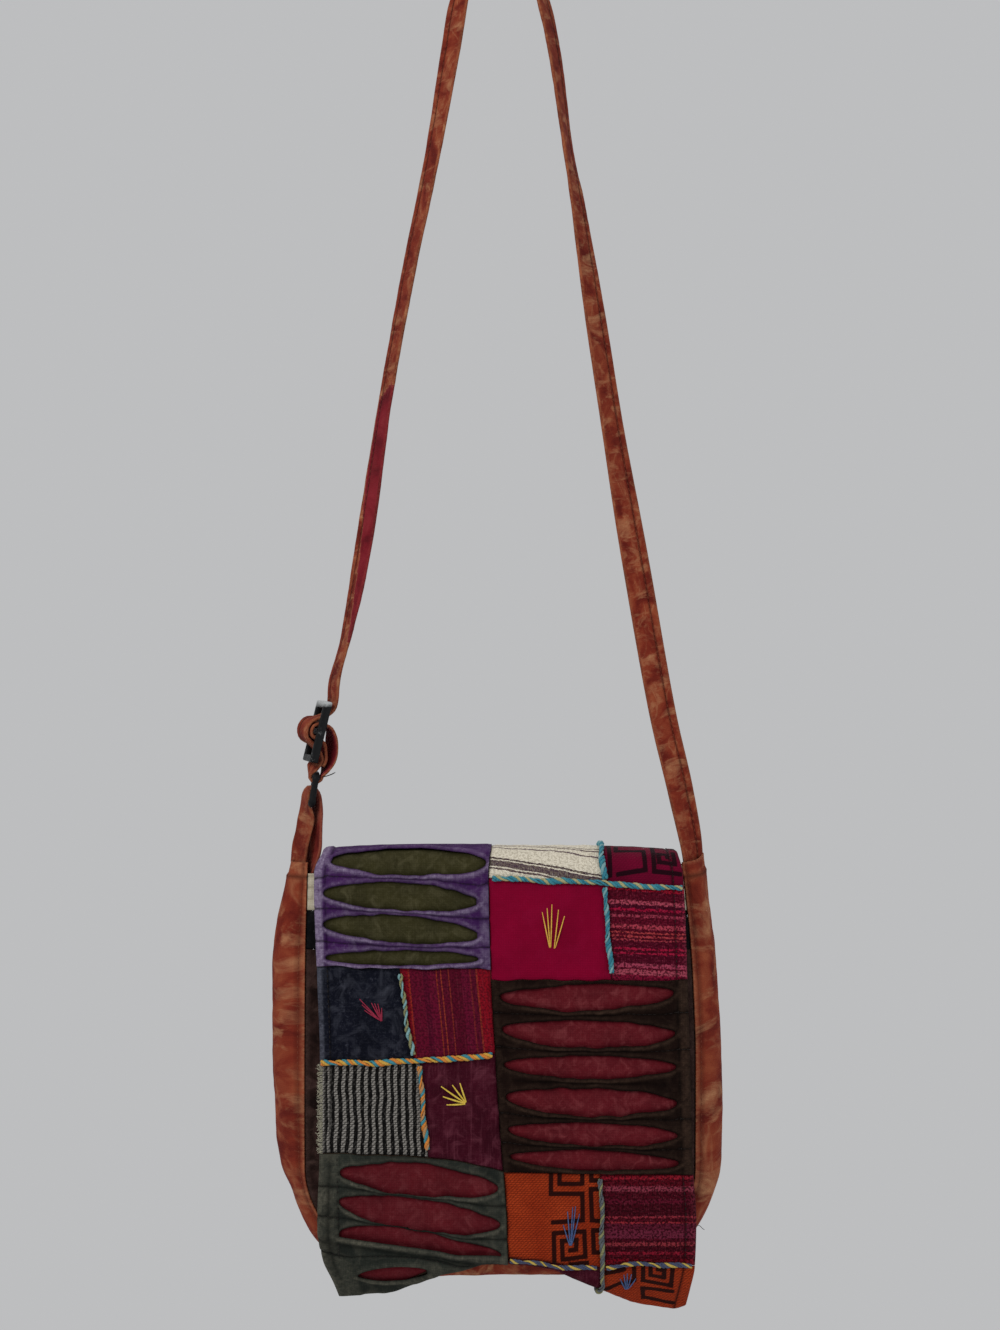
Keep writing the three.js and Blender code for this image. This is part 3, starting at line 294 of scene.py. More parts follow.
# Yarn-dyed cloth: stripes of coloured yarn with heathered threads across them. look["stripes"] gives where
# each colour starts, in millimetres across the stripes; the threads are drawn coarser than the real 0.5 mm.
def stripedWeave(name, look):
    material, tree, shader, cloth, (wear, shade) = clothMaterial(name, "wear", "shade")
    wander = addNode(tree, "ShaderNodeTexNoise", {"Scale": noiseScale(26), "Detail": 1.0}, {"Vector": cloth})
    ragged = addNode(tree, "ShaderNodeTexNoise", {"Scale": noiseScale(1.7), "Detail": 2.0}, {"Vector": cloth})
    axes = addNode(tree, "ShaderNodeSeparateXYZ", links={"Vector": cloth})
    across = axes.outputs["X"] if look["down"] else axes.outputs["Y"]
    first = look["stripes"][0][0]
    last = look["stripes"][-1][0]
    shifted = addNode(tree, "ShaderNodeMath", {"operation": "MULTIPLY_ADD", 1: look["wander"] * 0.001},
                      {0: wander.outputs["Fac"], 2: across})
    shifted = addNode(tree, "ShaderNodeMath", {"operation": "MULTIPLY_ADD", 1: look["ragged"] * 0.001},
                      {0: ragged.outputs["Fac"], 2: shifted.outputs[0]})
    centred = addNode(tree, "ShaderNodeMath",
                      {"operation": "SUBTRACT", 1: (look["wander"] + look["ragged"]) * 0.0005},
                      {0: shifted.outputs[0]})
    place = addNode(tree, "ShaderNodeMapRange", {"From Min": first * 0.001, "From Max": last * 0.001},
                    {"Value": centred.outputs[0]})
    stripes = addNode(tree, "ShaderNodeValToRGB", links={"Fac": place.outputs[0]})
    stripes.color_ramp.interpolation = "CONSTANT"
    rampStops(stripes, [((at - first) / (last - first), code) for at, code in look["stripes"]])
    # threads: two sets at right angles, or slanting ones where the cloth is a twill
    weave, warp = threadGrid(tree, cloth, (look["thread"], look["thread"]), (1.0, 1.0), look["twill"])
    # heather: pale threads that come and go along the stripes
    slubs = addNode(tree, "ShaderNodeMapping", {"Scale": look["slub"]}, {"Vector": cloth})
    slubNoise = addNode(tree, "ShaderNodeTexNoise", {"Scale": noiseScale(1.6), "Detail": 4.0,
                                                     "Roughness": 0.7}, {"Vector": slubs.outputs[0]})
    heather = addNode(tree, "ShaderNodeMapRange",
                      {"From Min": 0.48, "From Max": 0.72, "To Max": look["heather"]},
                      {"Value": slubNoise.outputs["Fac"]})
    dotted = addNode(tree, "ShaderNodeMath", {"operation": "MULTIPLY"}, {0: heather.outputs[0], 1: warp})
    rubbed = addNode(tree, "ShaderNodeMath", {"operation": "MULTIPLY_ADD", "use_clamp": True, 1: 0.6},
                     {0: wear, 2: dotted.outputs[0]})
    colour = addNode(tree, "ShaderNodeMix", {"data_type": "RGBA", 7: hexColour(look["worn"])},
                     {0: rubbed.outputs[0], 6: stripes.outputs["Color"]}).outputs[2]
    # gaps: the slanting threads of a twill, or a plain weave's uneven specks, drawn at 1.6 mm so that
    # they show
    specks = addNode(tree, "ShaderNodeTexNoise", {"Scale": noiseScale(1.6), "Detail": 1.0}, {"Vector": cloth})
    threads = weave if look["twill"] else specks.outputs["Fac"]
    low, high = (0.0, 0.4) if look["twill"] else (0.4, 0.56)
    gaps = addNode(tree, "ShaderNodeMapRange", {"From Min": low, "From Max": high, "To Min": look["gap"],
                                                "To Max": 0.0}, {"Value": threads})
    # painted shade from the shade map, in sewn grooves and beside seams, darkens the stripes
    darker = addNode(tree, "ShaderNodeMath", {"operation": "MAXIMUM"}, {0: gaps.outputs[0], 1: shade})
    colour = addNode(tree, "ShaderNodeMix", {"data_type": "RGBA", 7: hexColour(look["deep"])},
                     {0: darker.outputs[0], 6: colour}).outputs[2]
    height = addNode(tree, "ShaderNodeMath", {"operation": "MULTIPLY_ADD", 1: 0.8},
                     {0: weave, 2: slubNoise.outputs["Fac"]})
    finishCloth(tree, shader, colour, height, strength=0.55, deep=0.6)
    return material


# Cotton twill with a block-printed fret: the ink map holds millimetres from the middle of a printed line,
# and the ink breaks up over the threads.
def printedTwill(name, look):
    material, tree, shader, cloth, (ink, shade) = clothMaterial(name, "ink", "shade")
    clouds = addNode(tree, "ShaderNodeTexNoise", {"Scale": noiseScale(18), "Detail": 5.0}, {"Vector": cloth})
    flecks = addNode(tree, "ShaderNodeTexNoise", {"Scale": noiseScale(1.2), "Detail": 3.0, "Roughness": 0.7},
                     {"Vector": cloth})
    # threads drawn at about 1.4 mm because the real 0.5 mm is too fine to show
    weave, _ = threadGrid(tree, cloth, (1.3, 1.5), (3.0, 2.0), slanting=True, detail=3.0)
    dye = addNode(tree, "ShaderNodeValToRGB", links={"Fac": clouds.outputs["Fac"]})
    rampStops(dye, [(0.35, look["dark"]), (0.65, look["base"])])
    gaps = addNode(tree, "ShaderNodeMapRange", {"From Max": 0.4, "To Min": look["gap"], "To Max": 0.0},
                   {"Value": weave})
    colour = addNode(tree, "ShaderNodeMix", {"data_type": "RGBA", 7: hexColour(look["deep"])},
                     {0: gaps.outputs[0], 6: dye.outputs["Color"]}).outputs[2]
    # ragged edge of the print: the line's width comes and goes with the threads
    edge = addNode(tree, "ShaderNodeMath", {"operation": "MULTIPLY_ADD", 1: 0.9},
                   {0: flecks.outputs["Fac"], 2: ink})
    printed = addNode(tree, "ShaderNodeMapRange",
                      {"From Min": look["line"] + 0.15, "From Max": look["line"] + 0.75,
                       "To Min": 0.94, "To Max": 0.0}, {"Value": edge.outputs[0]})
    # painted shade from the shade map darkens the cloth as the ink does
    darker = addNode(tree, "ShaderNodeMath", {"operation": "MAXIMUM"}, {0: printed.outputs[0], 1: shade})
    colour = addNode(tree, "ShaderNodeMix", {"data_type": "RGBA", 7: hexColour(look["print"])},
                     {0: darker.outputs[0], 6: colour}).outputs[2]
    height = addNode(tree, "ShaderNodeMath", {"operation": "MULTIPLY_ADD", 1: 0.8},
                     {0: weave, 2: flecks.outputs["Fac"]})
    finishCloth(tree, shader, colour, height, strength=0.6, deep=0.6)
    return material


# Stonewashed canvas: a strong dye with pale clouds, whitish crease lines and rubbed seams. Paler mottles of
# the size look["bands"] are drawn out as look["gather"] says, as where the cloth was gathered in the wash.
def stonewashedCanvas(name, look):
    material, tree, shader, cloth, (wear, shade) = clothMaterial(name, "wear", "shade")
    clouds = addNode(tree, "ShaderNodeTexNoise", {"Scale": noiseScale(look["cloud"]), "Detail": 5.0,
                                                  "Roughness": 0.6, "Distortion": 0.6}, {"Vector": cloth})
    dye = addNode(tree, "ShaderNodeValToRGB", links={"Fac": clouds.outputs["Fac"]})
    rampStops(dye, [(0.36, look["dark"]), (0.5, look["base"]), (0.7, look["pale"])])
    flecks = addNode(tree, "ShaderNodeTexNoise", {"Scale": noiseScale(2.2), "Detail": 6.0, "Roughness": 0.7},
                     {"Vector": cloth})
    # crease lines: where a stretched noise crosses its middle value
    lie = addNode(tree, "ShaderNodeMapping", {"Scale": look["lie"], "Rotation": (0, 0, look["slant"])},
                  {"Vector": cloth})
    folds = addNode(tree, "ShaderNodeTexNoise", {"Scale": noiseScale(look["crease"]), "Detail": 3.0,
                                                 "Roughness": 0.5, "Distortion": 0.8},
                    {"Vector": lie.outputs[0]})
    middle = addNode(tree, "ShaderNodeMath", {"operation": "SUBTRACT", 1: 0.5}, {0: folds.outputs["Fac"]})
    away = addNode(tree, "ShaderNodeMath", {"operation": "ABSOLUTE"}, {0: middle.outputs[0]})
    line = addNode(tree, "ShaderNodeMapRange",
                   {"From Max": look["fine"], "To Min": look["lines"], "To Max": 0.0},
                   {"Value": away.outputs[0]})
    broken = addNode(tree, "ShaderNodeMapRange", {"From Min": 0.42, "From Max": 0.62},
                     {"Value": clouds.outputs["Fac"]})
    crease = addNode(tree, "ShaderNodeMath", {"operation": "MULTIPLY"},
                     {0: line.outputs[0], 1: broken.outputs[0]})
    gathered = addNode(tree, "ShaderNodeMapping", {"Scale": look["gather"]}, {"Vector": cloth})
    bands = addNode(tree, "ShaderNodeTexNoise", {"Scale": noiseScale(look["bands"]), "Detail": 5.0,
                                                 "Roughness": 0.62, "Distortion": 0.7},
                    {"Vector": gathered.outputs[0]})
    banded = addNode(tree, "ShaderNodeMapRange",
                     {"From Min": 0.52, "From Max": 0.7, "To Max": look["banded"]},
                     {"Value": bands.outputs["Fac"]})
    rubbed = addNode(tree, "ShaderNodeMapRange", {"From Min": 0.3, "From Max": 0.65},
                     {"Value": flecks.outputs["Fac"]})
    onEdge = addNode(tree, "ShaderNodeMath", {"operation": "MULTIPLY"}, {0: rubbed.outputs[0], 1: wear})
    faded = addNode(tree, "ShaderNodeMath", {"operation": "MAXIMUM"},
                    {0: crease.outputs[0], 1: banded.outputs[0]})
    faded = addNode(tree, "ShaderNodeMath", {"operation": "MAXIMUM"},
                    {0: faded.outputs[0], 1: onEdge.outputs[0]})
    mottled = addNode(tree, "ShaderNodeMapRange",
                      {"From Min": 0.3, "From Max": 0.7, "To Min": 0.55, "To Max": 1.0},
                      {"Value": flecks.outputs["Fac"]})
    faded = addNode(tree, "ShaderNodeMath", {"operation": "MULTIPLY", "use_clamp": True},
                    {0: faded.outputs[0], 1: mottled.outputs[0]})
    colour = addNode(tree, "ShaderNodeMix", {"data_type": "RGBA", 7: hexColour(look["worn"])},
                     {0: faded.outputs[0], 6: dye.outputs["Color"]}).outputs[2]
    # painted shade from the shade map, in sewn lines and beside seams, mixes towards the deep colour
    colour = addNode(tree, "ShaderNodeMix", {"data_type": "RGBA", 7: hexColour(look["deep"])},
                     {0: shade, 6: colour}).outputs[2]
    # canvas threads, drawn at 1.4 mm because the real 0.6 mm is too fine to show
    weave, _ = threadGrid(tree, cloth, (1.4, 1.4), (1.5, 1.5))
    height = addNode(tree, "ShaderNodeMath", {"operation": "MULTIPLY_ADD", 1: 0.35},
                     {0: weave, 2: flecks.outputs["Fac"]})
    finishCloth(tree, shader, colour, height, strength=0.5, deep=0.7, gloss=0.08)
    return material


# Spun cotton thread: fibres give a soft, slightly silky line, paler where they stand off.
def spunThread(name, base, pale):
    material, tree, shader = newMaterial(name)
    place = addNode(tree, "ShaderNodeTexCoord").outputs["Object"]
    fibres = addNode(tree, "ShaderNodeTexNoise", {"Scale": noiseScale(0.9), "Detail": 4.0, "Roughness": 0.7},
                     {"Vector": place})
    colour = addNode(tree, "ShaderNodeValToRGB", links={"Fac": fibres.outputs["Fac"]})
    rampStops(colour, [(0.35, base), (0.7, pale)])
    bump = addNode(tree, "ShaderNodeBump", {"Strength": 0.4, "Distance": 0.0003},
                   {"Height": fibres.outputs["Fac"]})
    tree.links.new(colour.outputs["Color"], shader.inputs["Base Color"])
    tree.links.new(bump.outputs["Normal"], shader.inputs["Normal"])
    shader.inputs["Roughness"].default_value = 0.75
    shader.inputs["Specular IOR Level"].default_value = 0.15
    shader.inputs["Sheen Weight"].default_value = 0.05
    return material


# Black fittings: moulded acetal with a soft gloss, or lacquered wire; both scuffed to grey in places, and
# painted pale above the height look["tip"], a painted highlight for the lamp's glint on the slider's top end.
def blackFitting(name, look):
    material, tree, shader = newMaterial(name)
    place = addNode(tree, "ShaderNodeTexCoord").outputs["Object"]
    scuffs = addNode(tree, "ShaderNodeTexNoise", {"Scale": noiseScale(look["scuff"]), "Detail": 6.0,
                                                  "Roughness": 0.75}, {"Vector": place})
    height = addNode(tree, "ShaderNodeSeparateXYZ", links={"Vector": place}).outputs["Z"]
    # painted highlight: above this height the colour rises towards the pale one
    tip = addNode(tree, "ShaderNodeMapRange",
                  {"From Min": (look["tip"] - 5) * 0.001, "From Max": look["tip"] * 0.001, "To Max": 0.55},
                  {"Value": height})
    worn = addNode(tree, "ShaderNodeMath", {"operation": "ADD"},
                   {0: scuffs.outputs["Fac"], 1: tip.outputs[0]})
    colour = addNode(tree, "ShaderNodeValToRGB", links={"Fac": worn.outputs[0]})
    rampStops(colour, [(0.58, look["base"]), (1.0, look["scuffAndHighlight"])])
    gloss = addNode(tree, "ShaderNodeMapRange", {"From Min": 0.3, "From Max": 0.75, "To Min": look["rough"],
                                                 "To Max": look["rough"] + 0.3},
                    {"Value": scuffs.outputs["Fac"]})
    bump = addNode(tree, "ShaderNodeBump", {"Strength": 0.15, "Distance": 0.0002},
                   {"Height": scuffs.outputs["Fac"]})
    tree.links.new(colour.outputs["Color"], shader.inputs["Base Color"])
    tree.links.new(gloss.outputs[0], shader.inputs["Roughness"])
    tree.links.new(bump.outputs["Normal"], shader.inputs["Normal"])
    shader.inputs["Metallic"].default_value = look["metal"]
    shader.inputs["Specular IOR Level"].default_value = 0.18
    return material


# Making pieces

def dress(piece, slot, *nodes):
    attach(piece, "root")
    if nodes:
        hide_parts(*nodes)
    return piece


# A sheet of cloth from a grid. place(a, b) gives a point in millimetres, its place on the flat cloth and its
# wear, shade and ink; a runs from 0 at the left to 1 and b from 0 at the top to 1. keep(a, b) says whether
# the cell with that middle stays. A tube is a sheet whose two sides meet; it takes no thickness.
def clothPiece(name, columns, rows, place, thick, material, keep=None, flip=False, tube=False):
    bm = bmesh.new()
    bmesh.ops.create_grid(bm, x_segments=columns, y_segments=rows, size=0.5)
    maps = {key: bm.verts.layers.float.new(key) for key in ("wear", "shade", "ink")}
    clothUv = bm.loops.layers.uv.new("cloth")
    if keep:
        middles = [(face, face.calc_center_median()) for face in bm.faces]
        away = [face for face, middle in middles if not keep(middle.x + 0.5, 0.5 - middle.y)]
        bmesh.ops.delete(bm, geom=away, context="FACES")
    onCloth = {}
    for vert in bm.verts:
        point, flat, values = place(vert.co.x + 0.5, 0.5 - vert.co.y)
        vert.co = metres(point)
        onCloth[vert] = (flat[0] * 0.001, flat[1] * 0.001)
        for key, value in values.items():
            vert[maps[key]] = value
    for face in bm.faces:
        face.smooth = True
        for loop in face.loops:
            loop[clothUv].uv = onCloth[loop.vert]
    if tube:
        bmesh.ops.remove_doubles(bm, verts=bm.verts, dist=1e-6)
        rims = [edge for edge in bm.edges if edge.is_boundary]
        bmesh.ops.holes_fill(bm, edges=rims, sides=0)
    if flip:
        bmesh.ops.reverse_faces(bm, faces=bm.faces)
    mesh = bpy.data.meshes.new(name)
    bm.to_mesh(mesh)
    bm.free()
    mesh.materials.append(material)
    piece = bpy.data.objects.new(name, mesh)
    scene.collection.objects.link(piece)
    if not tube:
        wall = piece.modifiers.new("cloth thickness", "SOLIDIFY")
        wall.thickness = thick * 0.001
        wall.offset = -1
    return piece


# Round threads and wires along lines of points in millimetres; each line has its radii and its material's
# number
def threadPiece(name, lines, materials, roundness=1, closed=False):
    curve = bpy.data.curves.new(name, "CURVE")
    curve.dimensions = "3D"
    curve.bevel_depth = 0.001
    curve.bevel_resolution = roundness
    curve.use_fill_caps = True
    for material in materials:
        curve.materials.append(material)
    for points, radii, number in lines:
        spline = curve.splines.new("POLY")
        spline.points.add(len(points) - 1)
        spline.use_cyclic_u = closed
        spline.material_index = number
        for knot, point, radius in zip(spline.points, points, radii):
            knot.co = (*metres(point), 1)
            knot.radius = radius
    pattern = bpy.data.objects.new(name + "_line", curve)
    scene.collection.objects.link(pattern)
    mesh = bpy.data.meshes.new_from_object(pattern)
    bpy.data.objects.remove(pattern)
    bpy.data.curves.remove(curve)
    for face in mesh.polygons:
        face.use_smooth = True
    piece = bpy.data.objects.new(name, mesh)
    scene.collection.objects.link(piece)
    return piece


# Sewn stitches along runs of (point, outward) pairs: a small spindle for each stitch
def sewnStitches(name, runs, material, long=2.6, gap=1.1, half=0.32, high=0.22):
    bm = bmesh.new()
    for run in runs:
        travelled = 0
        nextAt = gap
        for (here, outward), (there, _) in zip(run, run[1:]):
            step = (there - here).length
            while step > 0 and nextAt + long / 2 <= travelled + step:
                middle = here.lerp(there, clamp((nextAt + long / 2 - travelled) / step, 0, 1))
                along = (there - here).normalized()
                aside = outward.cross(along).normalized()
                axes = Matrix((along * long / 2, aside * half, outward * high)).transposed()
                place = Matrix.Translation(metres(middle)) @ (axes * 0.001).to_4x4()
                bmesh.ops.create_icosphere(bm, subdivisions=1, radius=1, matrix=place)
                nextAt += long + gap
            travelled += step
    bmesh.ops.recalc_face_normals(bm, faces=bm.faces)
    for face in bm.faces:
        face.smooth = True
    mesh = bpy.data.meshes.new(name)
    bm.to_mesh(mesh)
    bm.free()
    mesh.materials.append(material)
    piece = bpy.data.objects.new(name, mesh)
    scene.collection.objects.link(piece)
    return piece


# The flap: its section from the back seam over the top and down the front, its two side edges by distance
# down, and its hem, which leans in and is then doubled under along a line that runs out towards the corners
flap = dict(
    section=[(18.2, -670), (15.4, -655), (12, -645.6), (5, -641), (-5, -639.4), (-15, -640.4),
             (-22.5, -643.8), (-27.5, -650), (-30.5, -660), (-34.5, -690), (-38, -740), (-40.5, -800),
             (-41.5, -860), (-42.8, -900), (-44, -940)],
    mark=(60, -693),
    edges=[(-60, -126, 127), (2, -126.5, 127), (19, -131, 129), (90, -128.3, 131.2), (155, -126, 132.8),
           (215, -126, 134), (262, -127.4, 137), (293, -124, 135.8), (310, -118.5, 133.6),
           (330, -113, 130.6)],
    hem=[(-130, 270, 26, 345), (-108, 274, 28, 335), (-73, 279, 26, 312.5), (-45, 283, 16, 295),
         (-28, 286, 6, 289.5), (-10, 286, 0, 285.5), (5, 287, 0, 285.5), (25, 289, 0, 287.5),
         (38, 291, 4, 290.5), (49, 293, 10, 295.5), (69, 294, 18, 305.5), (98, 290.5, 27, 324),
         (140, 293, 24, 348)],
    leanRadius=12, foldTurn=172, foldRadius=5, droop=3.5, backSeam=-54,
    seamGap=0.4, baseTop=1.2, patchTop=2.75, underTop=2.45, slitTop=3.75,
)
sectionLine = smoothLine(flap["section"], 40)
sectionAlong = [0.0]
for before, after in zip(sectionLine, sectionLine[1:]):
    sectionAlong.append(sectionAlong[-1] + sqrt((after[0] - before[0]) ** 2 + (after[1] - before[1]) ** 2))
markRow = max(i for i, point in enumerate(sectionLine) if point[1] >= flap["mark"][1])
flapStart = flap["mark"][0] - sectionAlong[markRow]


# point and downward direction of the section
def sectionAt(distance):
    distance = clamp(distance, 0, sectionAlong[-1] - 0.001)
    i = min(bisect_right(sectionAlong, distance) - 1, len(sectionLine) - 2)
    step = sectionAlong[i + 1] - sectionAlong[i]
    share = (distance - sectionAlong[i]) / step
    (y0, z0), (y1, z1) = sectionLine[i], sectionLine[i + 1]
    return mix(y0, y1, share), mix(z0, z1, share), (y1 - y0) / step, (z1 - z0) / step


def acrossFlap(u, s):
    return mix(lookUp(flap["edges"], s, 1), lookUp(flap["edges"], s, 2), u)


# inner face of the flap at x and a distance down it
def flapFace(x, s):
    tilt = radians(lookUp(flap["hem"], x, 2))
    fold = lookUp(flap["hem"], x, 3)
    lean = min(lookUp(flap["hem"], x, 1), fold - tilt * flap["leanRadius"])
    bends = ((lean, tilt, flap["leanRadius"]), (fold, radians(flap["foldTurn"]) - tilt, flap["foldRadius"]))
    reached = min(s, lean)
    y, z, downY, downZ = sectionAt(reached - flapStart)
    inY, inZ = -downZ, downY
    heading = 0
    for at, most, radius in bends:
        if s <= reached:
            break
        ahead = max(0, min(s, at) - reached)
        y += ahead * (downY * cos(heading) + inY * sin(heading))
        z += ahead * (downZ * cos(heading) + inZ * sin(heading))
        reached += ahead
        turn = clamp((s - reached) / radius, 0, most)
        forward = radius * (sin(heading + turn) - sin(heading))
        sideways = radius * (cos(heading) - cos(heading + turn))
        y += downY * forward + inY * sideways
        z += downZ * forward + inZ * sideways
        heading += turn
        reached += turn * radius
    rest = max(0, s - reached)
    y += rest * (downY * cos(heading) + inY * sin(heading))
    z += rest * (downZ * cos(heading) + inZ * sin(heading))
    roof = 1 - easeStep(s, 0, flap["mark"][0])
    return Vector((x, y, z - flap["droop"] * abs(x / 130) ** 4 * roof))


# soft waves that all layers of the flap share
def flapWave(x, s):
    return (1.1 * lump(x, s, 3, 52) + 0.45 * lump(x, s, 9, 19)) * easeStep(s, 2, 34)


def flapOutward(x, s):
    sideways = flapFace(x + 0.5, s) - flapFace(x - 0.5, s)
    downwards = flapFace(x, s + 0.5) - flapFace(x, s - 0.5)
    return downwards.cross(sideways).normalized()


def offFlap(x, s, off):
    return flapFace(x, s) + flapOutward(x, s) * (off + flapWave(x, s))


# joints between patches: down the flap as shares of its width, and across it as distances down
downJoints = dict(
    leftEdge=[(-60, 0)],
    rightEdge=[(-60, 1)],
    centre=[(-60, 0.478), (90, 0.47), (150, 0.476), (228, 0.493), (262, 0.5)],
    creamFret=[(-60, 0.784)],
    magentaPink=[(29, 0.785), (95, 0.794)],
    navyRed=[(88, 0.224), (151, 0.255)],
    greyPlum=[(152, 0.271), (218, 0.292)],
    orangeWine=[(231, 0.75)],
)
acrossJoints = dict(
    backSeam=[(0, -54)],
    rightFirst=[(0.478, 25), (1, 31)],
    leftFirst=[(0, 86), (0.47, 88)],
    rightSecond=[(0.47, 95.8)],
    leftSecond=[(0, 152), (0.255, 151), (0.476, 146.5)],
    leftThird=[(0, 215), (0.292, 218), (0.493, 228)],
    rightThird=[(0.493, 228.5), (1, 230)],
    end=[(0, 326), (0.2, 318.5), (0.45, 316.5), (0.7, 324), (0.88, 328), (0.965, 330.5), (1, 327)],
)
# seams that wander where the slit patches' lips lie over them, in millimetres
jointWaves = dict(leftFirst=1.6, rightSecond=2.0, leftThird=0.9, leftSecond=0.5)


def leanAt(u):
    return lookUp(flap["hem"], acrossFlap(u, 270), 1)


def acrossJoint(joint):
    if joint == "lean":
        return leanAt
    wave = jointWaves.get(joint, 0)
    return lambda u: lookUp(acrossJoints[joint], u) + wave * lump(u * 260, 4, len(joint), 15)


# share of the flap's width at a share c of a patch's width; patchWide gives that width in millimetres
def patchAcross(patch, c, s):
    left = lookUp(downJoints[patch["left"]], s)
    right = lookUp(downJoints[patch["right"]], s)
    inset = flap["seamGap"] / 2 / (acrossFlap(1, s) - acrossFlap(0, s))
    return mix(left + inset, right - inset, c)


def patchWide(patch, s):
    return acrossFlap(patchAcross(patch, 1, s), s) - acrossFlap(patchAcross(patch, 0, s), s)


# how a patch's edge lies, at a distance from it: rolled and rubbed at the flap's own edges, tucked down at
# seams; gives the rise, the wear and the shade
def edgeRelief(joint, away, s):
    if joint in ("leftEdge", "rightEdge"):
        strip = 4.6 if s < 88 else 2.4
        leftRub, rightRub = 0.95 * (1 - easeStep(away, strip, strip + 2)), 0.45 * bell(away, 3)
        rubbed = leftRub if joint == "leftEdge" else rightRub
        roll = 0.5 * bell(away - 3.4, 2.2) - 1.3 * bell(away, 1.5) - 0.5 * bell(away - 7.8, 1.2)
        return roll, rubbed, 0.9 * bell(away - 7.8, 0.9)
    if joint == "end":
        return -0.8 * bell(away, 1.5), 0.5 * bell(away, 2), 0
    return -0.55 * bell(away, 1.8), 0, 0.45 * bell(away, 1.1)


def edgesRelief(patch, u, s, c):
    wide = patchWide(patch, s)
    sides = ((patch["left"], c * wide), (patch["right"], (1 - c) * wide),
             (patch["top"], s - acrossJoint(patch["top"])(u)),
             (patch["bottom"], acrossJoint(patch["bottom"])(u) - s))
    parts = [edgeRelief(joint, away, s) for joint, away in sides]
    return min(part[0] for part in parts), max(part[1] for part in parts), max(part[2] for part in parts)


# distance from the middle of the nearest printed line, with square ends and corners
def inkAt(fret, x, s):
    nearest = 9.0
    for line in fret:
        for (x0, s0), (x1, s1) in zip(line, line[1:]):
            long = sqrt((x1 - x0) ** 2 + (s1 - s0) ** 2)
            alongX, alongS = (x1 - x0) / long, (s1 - s0) / long
            ahead = (x - x0) * alongX + (s - s0) * alongS
            aside = abs((x - x0) * alongS - (s - s0) * alongX)
            nearest = min(nearest, max(aside, -ahead, ahead - long))
    return nearest


def plainPatch(patch, material):
    top, bottom = acrossJoint(patch["top"]), acrossJoint(patch["bottom"])
    middle = (top(0.5) + bottom(0.5)) / 2
    seed = len(patch["name"]) * 7.3
    fret = patch.get("fret")
    grain, lean = patch.get("grain", 0), patch.get("lean", 0)
    half = flap["seamGap"] / 2

    def place(a, b):
        s = mix(top(0.5), bottom(0.5), b)
        for _ in range(3):
            u = patchAcross(patch, a, s)
            s = mix(top(u) + half, bottom(u) - half, b)
        u = patchAcross(patch, a, s)
        x = acrossFlap(u, s)
        sunk, wear, shade = edgesRelief(patch, u, s, a)
        pucker = patch.get("pucker", 1) * (0.3 * lump(x, s, seed, 11) + 0.14 * lump(x, s, seed, 4.2))
        ink = inkAt(fret, x, s) if fret else 9.0
        flat = (x - lean * (s - middle), s - grain * x)
        return offFlap(x, s, flap["patchTop"] + sunk + pucker), flat, dict(wear=wear, shade=shade, ink=ink)

    cell = 1.0  # millimetres, fine enough for the sewn line beside the flap's edges
    columns = round(patchWide(patch, middle) / cell)
    rows = round((bottom(0.5) - top(0.5)) / cell)
    piece = clothPiece(patch["name"] + "_cloth", columns, rows, place, 0.9, material)
    dress(piece, patch["slot"], patch["name"])


# lenses of a slit patch: the distances down of the upper and lower edge at a share of the patch's width
def slitLenses(patch):
    lenses = []
    tipGap = 0.5
    first, last = patch["tips"]
    for k, (left, right, top, bottom) in enumerate(patch["slits"]):
        tips = patch["spans"][k] if "spans" in patch else patch["tips"]

        def edge(c, side, left=left, right=right, top=top, bottom=bottom, k=k, tips=tips):
            share = clamp((c - tips[0]) / (tips[1] - tips[0]), 0, 1)
            broad = 0.2 * lump(c * 100, k * 31 + side * 7, 2, 17)
            narrow = 0.1 * lump(c * 100, k * 17 + side * 5, 6, 6)
            gape = max(0, sin(pi * share)) ** 0.52 * (0.97 + broad + narrow)
            middle = (left + right) / 2
            reach = middle - top if side < 0 else bottom - middle
            return mix(left, right, share) + side * (tipGap + reach * gape)
        lenses.append(dict(edge=edge, tips=tips))
    if "foldSlit" in patch:
        above, below = patch["foldSlit"]

        def foldEdge(c, side):
            share = clamp((c - first) / (last - first), 0, 1)
            lean = leanAt(patchAcross(patch, c, 300)) - below
            if side > 0:
                return lean
            return lean - 2 * tipGap - above * max(0, sin(pi * share ** 0.75)) ** 0.62
        lenses.append(dict(edge=foldEdge, tips=patch["tips"]))
        start, stop, downLeft, downRight, reach = patch["hemSlit"]

        def hemEdge(c, side):
            share = clamp((c - start) / (stop - start), 0, 1)
            gape = max(0, sin(pi * share)) ** 0.7
            lean = leanAt(patchAcross(patch, c, 300))
            return lean + mix(downLeft, downRight, share) + side * (tipGap + reach * gape)
        lenses.append(dict(edge=hemEdge, tips=(start, stop)))
    return lenses


# distance in millimetres from the nearest lens
def awayFromLens(lenses, c, s, wide):
    nearest = 99.0
    for lens in lenses:
        inside = clamp(c, *lens["tips"])
        past = max(lens["edge"](inside, -1) - s, s - lens["edge"](inside, 1), 0)
        nearest = min(nearest, sqrt(past ** 2 + ((c - inside) * wide * 0.8) ** 2))
    return nearest


# the sewn line beside the tips of the green patch's slits
def marginLine(s):
    return -113.5 + 0.02 * (s - 216)


